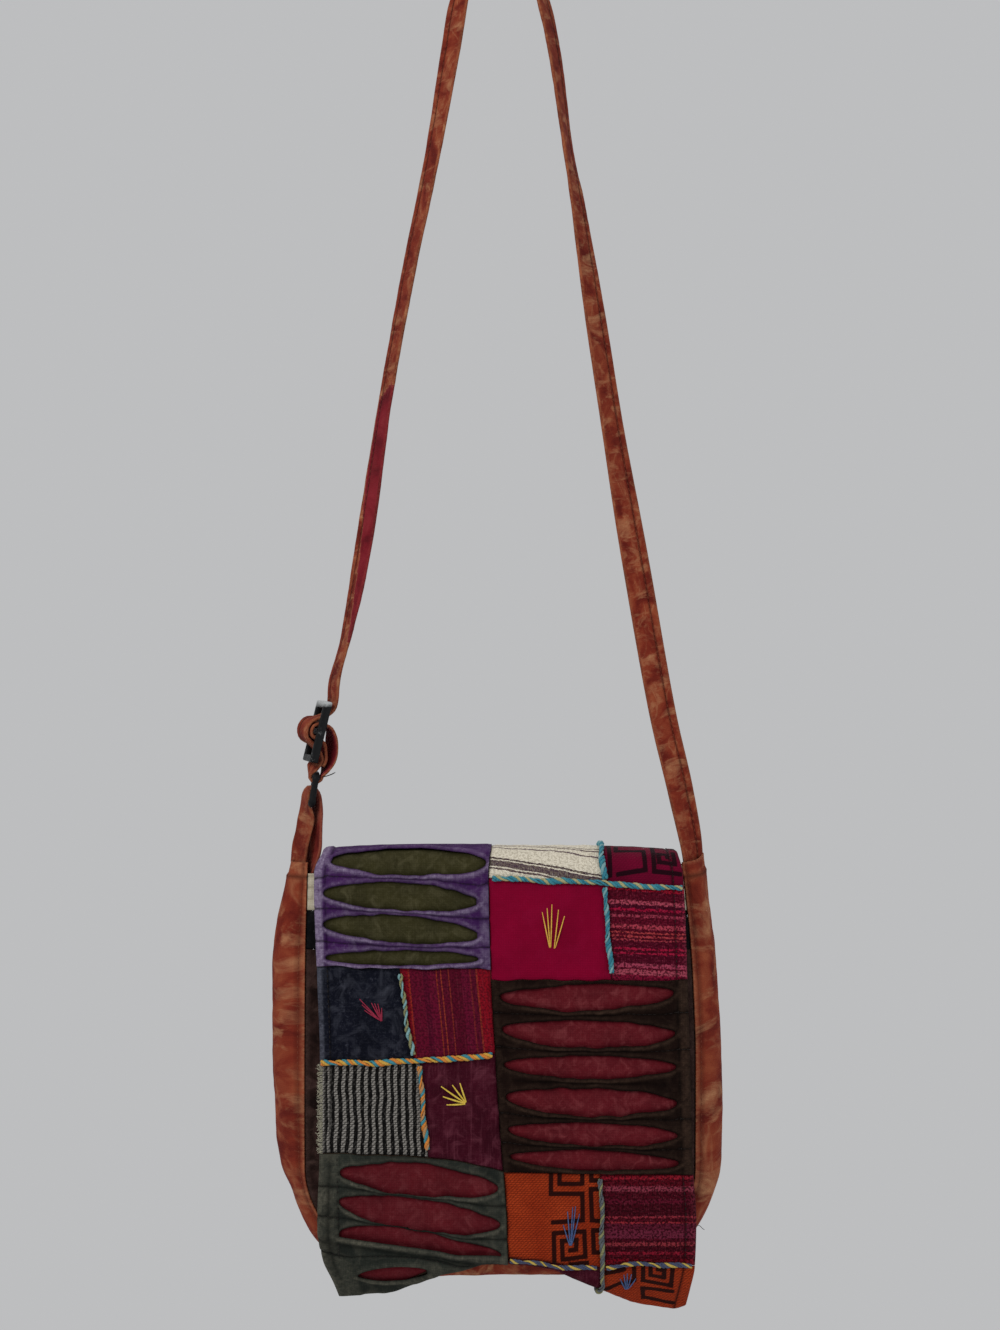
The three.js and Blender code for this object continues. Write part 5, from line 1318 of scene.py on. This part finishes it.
def gussetPoint(t, w, off=0.0):
    ahead, behind = gussetFace(t, min(1, w + 0.02)), gussetFace(t, max(-1, w - 0.02))
    along = gussetFace(min(gussetLong, t + 1), w) - gussetFace(max(0, t - 1), w)
    outward = along.cross(ahead - behind).normalized()
    fromEnd = min(t, gussetLong - t)
    inner = 1 - abs(w) ** 4
    # soft dents and slanting folds, and the doubled hem at both tops
    relief = (1.5 * lump(t, w * 34, 2, 46) + 0.8 * lump(t * 0.8 + w * 14, w * 30, 6, 19)
              + 0.3 * lump(t, w * 30, 4, 7)) * inner * easeStep(fromEnd, 2, 30)
    relief += 0.7 * (1 - easeStep(fromEnd, 9.4, 10.6)) - 0.4 * bell(fromEnd - 10.5, 1.0)
    relief -= 0.5 * bell(1 - abs(w), 0.025)
    rise = 6 * (w + 1) / 2 * (1 - easeStep(gussetLong - t, 0, 42))
    return gussetFace(t, w) + outward * (off + relief) + Vector((0, 0, rise)), outward


def gusset():
    def place(a, b):
        w = sin((2 * a - 1) * pi / 2)
        t = b * gussetLong
        point, _ = gussetPoint(t, w)
        fromEnd = min(t, gussetLong - t)
        seam = 30 * (1 - abs(w))
        wear = max(0.55 * bell(fromEnd, 1.6), 0.5 * bell(seam, 1.2), 0.35 * bell(fromEnd - 9.6, 1.2))
        # painted shade in the sewn line below the doubled hem and beside the seams
        shade = max(0.8 * bell(fromEnd - 10.8, 0.8), 0.5 * bell(seam - 2.2, 0.8))
        return point, (w * 34, t), dict(wear=wear, shade=shade, ink=9.0)
    return clothPiece("gusset_cloth", 36, 300, place, 1.5, rustCanvas, flip=True)


dress(gusset(), "rust_canvas", "gusset")
gussetRuns = []
for w in (-0.93, 0.93):
    gussetRuns.append([gussetPoint(t, w, 0.05) for t in [2 + 2 * n for n in range(int(gussetLong / 2) - 1)]])
for t in (8.2, gussetLong - 8.2):
    gussetRuns.append([gussetPoint(t, -0.95 + 0.019 * n, 0.05) for n in range(101)])
dress(sewnStitches("gusset_stitches", gussetRuns, rustThread), "rust_canvas")


def panelFace(face, across, z, off):
    skew = lookUp(pouch["swell"], z, 3) if face > 0 else 0
    x = mix(seamAt(-1, z) + pouch["gap"], seamAt(1, z) + skew - pouch["gap"], across)
    reach = 1 - (2 * across - 1) ** 2
    lower = easeStep(z, pouch["bottom"], pouch["bottom"] + 80)
    upper = 1 if face < 0 else 1 - easeStep(z, pouch["top"] - 60, pouch["top"] - 20)
    crown = (pouch["frontCrown"] if face < 0 else pouch["backCrown"]) * reach * lower * upper
    return Vector((x, face * (lookUp(pouch["depth"], z) + crown + off), z))


def panel(name, node, slot, face, top, bottom, material, relief, columns, rows, sag=0):
    def place(a, b):
        z = mix(top - sag * (1 - easeStep(a, 0.01, 0.12)), bottom, b)
        off, wear, shade = relief(a, z)
        point = panelFace(face, a, z, off)
        return point, (point.x, -z), dict(wear=wear, shade=shade, ink=9.0)
    piece = clothPiece(name, columns, rows, place, 1.5, material, flip=face > 0)
    dress(piece, slot, node)


# cream band with soft ribs across it, the zip below it, and the two canvas panels
def bandRelief(a, z):
    rib = abs(sin(pi * (z - pouch["bandBottom"]) / 7.9))
    off = 0.9 * rib ** 0.6 - 0.6 + 0.25 * lump(a * pouch["flatWide"], z, 3, 9)
    # the rib crests are paler, and painted shade fills the troughs between them
    return off, 0.4 * rib, 0.55 * (1 - rib) ** 3


def zipRelief(a, z):
    middle = (pouch["bandBottom"] + pouch["zipBottom"]) / 2
    return -0.35 + 0.3 * bell(z - middle, 4) + 0.15 * lump(a * pouch["flatWide"], z, 5, 8), 0.0, 0.0


def clothRelief(a, z):
    inner = easeStep(min(a, 1 - a), 0, 0.08)
    x = a * pouch["flatWide"]
    off = (1.4 * lump(x, z, 11, 44) + 0.5 * lump(x, z, 14, 15)) * inner - 0.3
    seam = min(a, 1 - a) * pouch["flatWide"]
    return off, 0.5 * bell(seam, 2), 0.0


zipTape = wornCotton("black zip tape", cotton("#161618", "#0e0e10", "#5c5a58", "#040405", 0.2, 0.05, 12, 20))
panel("front_top_band_cloth", "front_top_band", "cream_cotton", -1, pouch["top"], pouch["bandBottom"],
      creamCotton, bandRelief, 90, 40, sag=6)
panel("zip_tape", "zip", "black_zip", -1, pouch["bandBottom"] - 0.4, pouch["zipBottom"],
      zipTape, zipRelief, 70, 14)
panel("front_panel_cloth", "front_panel", "brown_canvas", -1, pouch["zipBottom"] - 0.4, pouch["bottom"] + 0.3,
      brownCanvas, clothRelief, 70, 76)
panel("back_panel_cloth", "back_panel", "rust_canvas", 1, pouch["backTop"], pouch["bottom"] + 0.3,
      backCanvas, clothRelief, 70, 92)
# zip teeth: two rows of small moulded spindles that mesh along the middle of the tape
zipTeeth = blackFitting("moulded zip teeth", dict(
    base="#141416", scuffAndHighlight="#8a8a8c", rough=0.4, scuff=1.5, metal=0.0, tip=0))
teethRuns = []
middle = (pouch["bandBottom"] + pouch["zipBottom"]) / 2
for n in range(124):
    across = 0.02 + 0.96 * n / 123
    side = 1 if n % 2 else -1
    ends = [panelFace(-1, across, middle + side * 0.9 + dz, 0.5) for dz in (-1.6, 1.6)]
    teethRuns.append([(ends[0], Vector((0, -1, 0))), (ends[1], Vector((0, -1, 0)))])
dress(sewnStitches("zip_teeth", teethRuns, zipTeeth, long=2.6, gap=0.2, half=0.75, high=0.6), "black_zip")
print("pouch done")


# The strap: rows of x, z and turn from the right gusset over the top and down to the slider; a turn of 0
# faces the viewer and 90 is edge on
strap = dict(
    wide=20, thick=2.4, stitchAt=4.2, step=2.4,
    right=[(138.2, -664, 50), (139.2, -646, 39), (130.4, -598, 18), (118.1, -545, 12), (99.3, -440.5, 8),
           (82.7, -344, 33), (68.1, -250.5, 40), (55.6, -170, 60), (49.1, -134, 69), (39, -62.6, 62)],
    left=[(-35.6, -62.6, 44), (-47.8, -134, 54), (-67.3, -230, 59), (-83.1, -318, 60), (-97.9, -417, 50),
          (-110.5, -484, 66), (-119.2, -517, 78)],
    # through the slider: across it, along it and turn
    sliderIn=[(5.8, 19.5, 84), (3, 13.5, 88), (-2.5, 9.8, 90), (-8.6, 6.4, 82), (-10.8, 0, 80),
              (-8.6, -6.4, 84), (-2, -9.8, 90), (3.2, -13.5, 90), (5.8, -19, 84), (3.2, -26, 74)],
    sliderOut=[(12.2, -25, 101), (13.4, -14.5, 107), (11.6, -4, 102), (7.4, 4.4, 90), (1, 5.8, 90),
               (-5.2, 4, 87), (-6.8, 0, 84), (-5.2, -4, 87), (1, -5.4, 90), (5.6, -8, 89), (7.4, -13, 88),
               (9, -18.5, 88), (8.6, -23.5, 89)],
    tabOuter=[(-145.7, -650.4, 127), (-144.3, -638, 128), (-141.9, -628, 124), (-139.9, -617, 123)],
    tabInner=[(-132.4, -616, 68), (-133.6, -622, 59), (-134.5, -630, 52), (-134.8, -640, 51),
              (-136.2, -652, 70), (-137, -666, 94)],
)
# slider, ring and the strap in them hang turned about an upright line: degrees by height
hardwareTurn = dict(x=-133, degrees=[(-640, 0), (-612, 7), (-584, 7), (-577, 17), (-532, 17), (-495, 0)])
topArc = dict(x=0.8, radius=30, first=10, last=170, turns=(62, 76, 90, 90, 90, 70, 48))
slider = dict(x=-131.8, z=-555, lean=14, long=45, wide=30, thick=6, bar=5, middleBar=5, rail=3.5)
ring = dict(x=-134.5, z=-596.5, lean=9.3, long=24, wide=30, bar=4)
wrap = dict(radius=4.4, tabRise=11.2)


def turnedHardware(point, vector=None):
    turn = Matrix.Rotation(radians(lookUp(hardwareTurn["degrees"], point.z)) if point.x < 0 else 0, 3, "Z")
    if vector:
        return turn @ vector
    centre = Vector((hardwareTurn["x"], 0, 0))
    return centre + turn @ (point - centre)


def inPlace(piece, across, along):
    lean = radians(piece["lean"])
    return (piece["x"] + across * cos(lean) + along * sin(lean),
            piece["z"] - across * sin(lean) + along * cos(lean))


# rows round one bar of the ring; spread turns the two legs of the loop towards each other
def aroundBar(side, first, last, rise, spread=0):
    x, z = inPlace(ring, 0, side * (ring["long"] - ring["bar"]) / 2)
    angles = [radians(mix(first, last, k / 6)) for k in range(7)]
    return [(x + wrap["radius"] * cos(angle), z + rise * sin(angle), 90 - spread * cos(angle))
            for angle in angles]


def strapRows():
    arc = []
    for k, turn in enumerate(topArc["turns"]):
        angle = radians(mix(topArc["first"], topArc["last"], k / (len(topArc["turns"]) - 1)))
        arc.append((topArc["x"] + topArc["radius"] * cos(angle),
                    strap["thick"] / 2 + topArc["radius"] * (sin(angle) - 1), turn))
    inner = [(*inPlace(slider, across, along), turn) for across, along, turn in strap["sliderIn"]]
    outer = [(*inPlace(slider, across, along), turn) for across, along, turn in strap["sliderOut"]]
    return [*strap["right"], *arc, *strap["left"], *inner, *aroundBar(1, 180, 360, wrap["radius"]), *outer]


# stations of equal length along a strip: middle, across, through and along, and the distance travelled
def stripStations(rows):
    line = smoothLine(rows, 24)
    travelled = [0.0]
    for here, there in zip(line, line[1:]):
        travelled.append(travelled[-1] + sqrt((there[0] - here[0]) ** 2 + (there[1] - here[1]) ** 2))
    count = round(travelled[-1] / strap["step"])
    places = []
    for n in range(count + 1):
        distance = travelled[-1] * n / count
        i = min(bisect_right(travelled, distance) - 1, len(line) - 2)
        share = (distance - travelled[i]) / max(1e-6, travelled[i + 1] - travelled[i])
        places.append(tuple(mix(p, q, share) for p, q in zip(line[i], line[i + 1])))
    stations = []
    for n, (x, z, turn) in enumerate(places):
        before, after = places[max(0, n - 1)], places[min(count, n + 1)]
        along = Vector((after[0] - before[0], 0, after[1] - before[1])).normalized()
        aside = Vector((along.z, 0, -along.x))
        across = aside * cos(radians(turn)) + Vector((0, sin(radians(turn)), 0))
        stations.append((Vector((x, 0, z)), across, across.cross(along).normalized(), along,
                         travelled[-1] * n / count))
    return stations


# the strip's section is a flattened loop: share runs once round it; gives across, through and the way round
def stripSection(share):
    half, edge = strap["wide"] / 2 - strap["thick"] / 2, strap["thick"] / 2
    flat, bend = 2 * half, pi * edge
    around = share * 2 * (flat + bend)
    if around < flat:
        return -half + around, edge, around
    if around < flat + bend:
        turn = (around - flat) / edge
        return half + edge * sin(turn), edge * cos(turn), around
    if around < 2 * flat + bend:
        return half - (around - flat - bend), -edge, around
    turn = (around - 2 * flat - bend) / edge
    return -half - edge * sin(turn), -edge * cos(turn), around


# how far a point of the strip stands out of its plain section: ripples and the sewn line
def stripRelief(side, across, travelled, seed):
    ripple = 0.32 * lump(travelled, across * 1.3, seed, 15) + 0.16 * lump(travelled, across, seed + 3, 5)
    sewn = -0.35 * bell(across - strap["stitchAt"], 1.1) if side > 0 else 0
    return ripple + sewn


def stripPiece(name, rows, seed):
    stations = stripStations(rows)
    columns = 36

    def place(a, b):
        middle, across, through, _, travelled = stations[round(b * (len(stations) - 1))]
        sideways, out, around = stripSection(a % 1)
        side = 1 if out > 0 else -1
        flatness = clamp(abs(out) / (strap["thick"] / 2), 0, 1)
        relief = stripRelief(side, sideways, travelled, seed) * flatness
        point = middle + across * sideways + through * (out + side * relief)
        edge = strap["wide"] / 2 - abs(sideways)
        wear = 0.5 * bell(edge, 1.4)
        # painted shade: dark along the sewn line on the top face, and a little over the whole underside
        shade = 0.8 * bell(sideways - strap["stitchAt"], 0.75) if side > 0 else 0.12
        flat = (around if a < 1 else 2 * (strap["wide"] + strap["thick"]), travelled)
        return turnedHardware(point), flat, dict(wear=wear, shade=shade, ink=9.0)
    piece = clothPiece(name, columns, len(stations) - 1, place, 0, strapCanvas, tube=True)
    return piece, stations


strapCloth, strapStations = stripPiece("strap_cloth", strapRows(), 2)
dress(strapCloth, "rust_canvas", "strap")
tabRows = [*strap["tabOuter"], *aroundBar(-1, 180, 0, wrap["tabRise"], 14), *strap["tabInner"]]
tabCloth, _ = stripPiece("ring_tab_cloth", tabRows, 8)
dress(tabCloth, "rust_canvas", "ring_tab")
# unfaded sides: the strap's left strand where it rolls open and the inside of its loops past the ring; and
# the inner leg of the tab, in a darker copy of the rust canvas that paints shade; each test says so at a
# distance along the strip and the way round it
ringAt = min((station for station in strapStations if station[0].x < 0), key=lambda station: station[0].z)[4]
strandEnd = min((station for station in strapStations if station[0].x < 0 and station[0].z > -520),
                key=lambda station: abs(station[0].z + 490))[4]
unfadedWide = [(-2, 0), (20, 5), (70, 10.5), (115, 16), (175, 16.6), (188, 0)]


def strapUnfaded(travelled, around):
    wide = lookUp(unfadedWide, strandEnd - travelled)
    onStrand = wide > 0 and (around < wide or around > 39)
    inLoop = ringAt + 3 < travelled < ringAt + 48 and 20.5 < around < 40
    inTail = travelled > strapStations[-1][4] - 24 and around < 20.5
    return onStrand or inLoop or inTail


def tabShadedLeg(travelled, around):
    return travelled > 58


for piece, unfaded, canvas in ((strapCloth, strapUnfaded, crimsonCanvas),
                               (tabCloth, tabShadedLeg, shadedCanvas)):
    piece.data.materials.append(canvas)
    clothUv = piece.data.uv_layers["cloth"].data
    for face in piece.data.polygons:
        around, travelled = (1000 * value for value in clothUv[face.loop_start].uv)
        if unfaded(travelled + 6 * lump(around, travelled, 3, 12), around):
            face.material_index = 1
    # a pale rubbed line where the two colours meet
    colours = {}
    for face in piece.data.polygons:
        for corner in face.vertices:
            colours.setdefault(corner, set()).add(face.material_index)
    for corner, found in colours.items():
        if len(found) == 2:
            piece.data.attributes["wear"].data[corner].value = 0.75
run = []
for middle, across, through, _, travelled in strapStations:
    point = middle + across * strap["stitchAt"] + through * (strap["thick"] / 2 - 0.1)
    run.append((turnedHardware(point), turnedHardware(point, through)))
dress(sewnStitches("strap_stitches", [run], rustThread, long=3.2, gap=1.2), "rust_canvas")
print("strap done:", round(strapStations[-1][4]), "mm")


# The slider: a moulded frame with a middle bar, from a grid with its two windows taken out
def sliderFrame():
    bm = bmesh.new()
    bmesh.ops.create_grid(bm, x_segments=3, y_segments=5, size=0.5)
    halfWide, halfLong = slider["wide"] / 2, slider["long"] / 2
    cutsX = [-halfWide, -halfWide + slider["rail"], halfWide - slider["rail"], halfWide]
    cutsY = [-halfLong, -halfLong + slider["bar"], -slider["middleBar"] / 2, slider["middleBar"] / 2,
             halfLong - slider["bar"], halfLong]
    windows = [face for face in bm.faces if abs(face.calc_center_median().x) < 0.1
               and 0.1 < abs(face.calc_center_median().y) < 0.3]
    bmesh.ops.delete(bm, geom=windows, context="FACES")
    for vert in bm.verts:
        vert.co = metres((cutsX[round((vert.co.x + 0.5) * 3)], cutsY[round((vert.co.y + 0.5) * 5)], 0))
    bmesh.ops.solidify(bm, geom=bm.faces[:], thickness=slider["thick"] * 0.001)
    bmesh.ops.recalc_face_normals(bm, faces=bm.faces)
    deep = sum(vert.co.z for vert in bm.verts) / len(bm.verts)
    bmesh.ops.translate(bm, verts=bm.verts, vec=(0, 0, -deep))
    sharp = [edge for edge in bm.edges if len(edge.link_faces) == 2 and edge.calc_face_angle() > 0.5]
    bmesh.ops.bevel(bm, geom=sharp, offset=0.0011, offset_type="OFFSET", affect="EDGES", segments=3,
                    profile=0.5, material=-1)
    lean = radians(slider["lean"])
    wideAxis, longAxis = Vector((0, 1, 0)), Vector((sin(lean), 0, cos(lean)))
    turn = Matrix((wideAxis, longAxis, wideAxis.cross(longAxis))).transposed().to_4x4()
    bmesh.ops.transform(bm, matrix=Matrix.Translation(metres((slider["x"], 0, slider["z"]))) @ turn,
                        verts=bm.verts)
    turn = Matrix.Rotation(radians(lookUp(hardwareTurn["degrees"], slider["z"])), 4, "Z")
    bmesh.ops.rotate(bm, verts=bm.verts, cent=metres((hardwareTurn["x"], 0, 0)), matrix=turn)
    for face in bm.faces:
        face.smooth = True
    mesh = bpy.data.meshes.new("slider_frame")
    bm.to_mesh(mesh)
    bm.free()
    piece = bpy.data.objects.new("slider_frame", mesh)
    scene.collection.objects.link(piece)
    return piece


sliderPiece = sliderFrame()
# its top end, above -533 mm, is painted pale as a highlight
sliderPiece.data.materials.append(blackFitting("black moulded acetal", dict(
    base="#0a0b0d", scuffAndHighlight="#b2b5b6", rough=0.35, scuff=7, metal=0.0, tip=-533)))
dress(sliderPiece, "black_plastic", "slider")


# The ring: round wire bent to a rectangle with rounded corners
def ringLine():
    lean = radians(ring["lean"])
    longAxis = Vector((sin(lean), 0, cos(lean)))
    halfWide, halfLong, corner = (ring["wide"] - ring["bar"]) / 2, (ring["long"] - ring["bar"]) / 2, 3.2
    points = []
    for signY, signZ, first in ((1, 1, 0), (-1, 1, 90), (-1, -1, 180), (1, -1, 270)):
        for k in range(9):
            turn = radians(first + 90 * k / 8)
            across = signY * (halfWide - corner) + corner * cos(turn)
            along = signZ * (halfLong - corner) + corner * sin(turn)
            points.append(turnedHardware(Vector((ring["x"], across, ring["z"])) + longAxis * along))
    return points


# the ends are drawn stouter than the sides, a dark stand-in that fills the shade round the ring's ends
wire = ringLine()
wireRadii = [ring["bar"] / 2 + 0.75 * easeStep(abs(point.z - ring["z"]), 5, 9) for point in wire]
ringPiece = threadPiece("ring_wire", [(wire, wireRadii, 0)],
                        [blackFitting("black lacquered wire", dict(
                            base="#0b0b0d", scuffAndHighlight="#55555a", rough=0.45, scuff=3, metal=0.0, tip=0))],
                        roundness=4, closed=True)
dress(ringPiece, "black_metal", "ring")

# Loose threads and frayed yarn ends: first one thread at the near edge of the strap's outer strand, below
# the slider
loose = dict(height=-588, near=-10.2, reach=9.5, half=0.36)
outerStrand = min((station for station in strapStations if ringAt + 6 < station[4] < ringAt + 40),
                  key=lambda station: abs(station[0].z - loose["height"]))
looseLine = []
for n in range(9):
    share = n / 8
    rise = loose["reach"] * (0.12 * share + 0.22 * share ** 2)
    point = outerStrand[0] + outerStrand[1] * loose["near"]
    off = Vector((loose["reach"] * share, -0.8 * sin(pi * share / 2), rise))
    looseLine.append(turnedHardware(point + off))
looseLines = [(looseLine, [loose["half"]] * 8 + [0.2], 0)]
dress(threadPiece("strap_end_fray", looseLines, [darkThread], roundness=0), "rust_canvas")
edgeThread = offFlap(acrossFlap(1, 266) - 1, 266, 2)
points = [edgeThread + Vector((0.9 * n, -0.3 * sin(n), 1.1 * sin(n * 0.7) - 0.02 * n * n)) for n in range(8)]
dress(threadPiece("flap_loose_thread", [(points, [0.2] * 8, 0)], [darkThread], roundness=0), "wine_weave")
frayLines = []
greyThread = spunThread("frayed grey yarn", "#7d7a66", "#c2beaa")
for k in range(110):
    s = 154 + 61 * k / 110 + 1.5 * lump(k, 0, 0, 0.7)
    x = acrossFlap(0, s) + 2.4
    start = offFlap(x, s, 2.9)
    reach = 3.4 + 2.6 * abs(lump(k * 3.1, 5, 1, 1))
    points = [start + Vector((-reach * n / 4, -0.5 * sin(n) * (k % 3),
                              0.9 * lump(k, n, 2, 2) * n)) for n in range(5)]
    frayLines.append((points, [0.22, 0.22, 0.2, 0.18, 0.14], 0))
dress(threadPiece("grey_stripe_fray", frayLines, [greyThread], roundness=0), "grey_stripe")
print("fittings and loose threads done")

# Floor: a plain pale board under the bag
floorMaterial, floorTree, floorShader = newMaterial("pale painted board")
floorPlace = addNode(floorTree, "ShaderNodeTexCoord").outputs["Object"]
floorGrain = addNode(floorTree, "ShaderNodeTexNoise", {"Scale": noiseScale(60), "Detail": 6.0},
                     {"Vector": floorPlace})
floorColour = addNode(floorTree, "ShaderNodeValToRGB", links={"Fac": floorGrain.outputs["Fac"]})
rampStops(floorColour, [(0.3, "#d4d4d2"), (0.7, "#d9d9d7")])
floorTree.links.new(floorColour.outputs["Color"], floorShader.inputs["Base Color"])
floorShader.inputs["Roughness"].default_value = 0.8
bm = bmesh.new()
bmesh.ops.create_grid(bm, x_segments=8, y_segments=8, size=0.39, matrix=Matrix.Translation((0, 0, -1.16)))
floorMesh = bpy.data.meshes.new("studio_floor")
bm.to_mesh(floorMesh)
bm.free()
floorMesh.materials.append(floorMaterial)
studioFloor = bpy.data.objects.new("studio_floor", floorMesh)
scene.collection.objects.link(studioFloor)
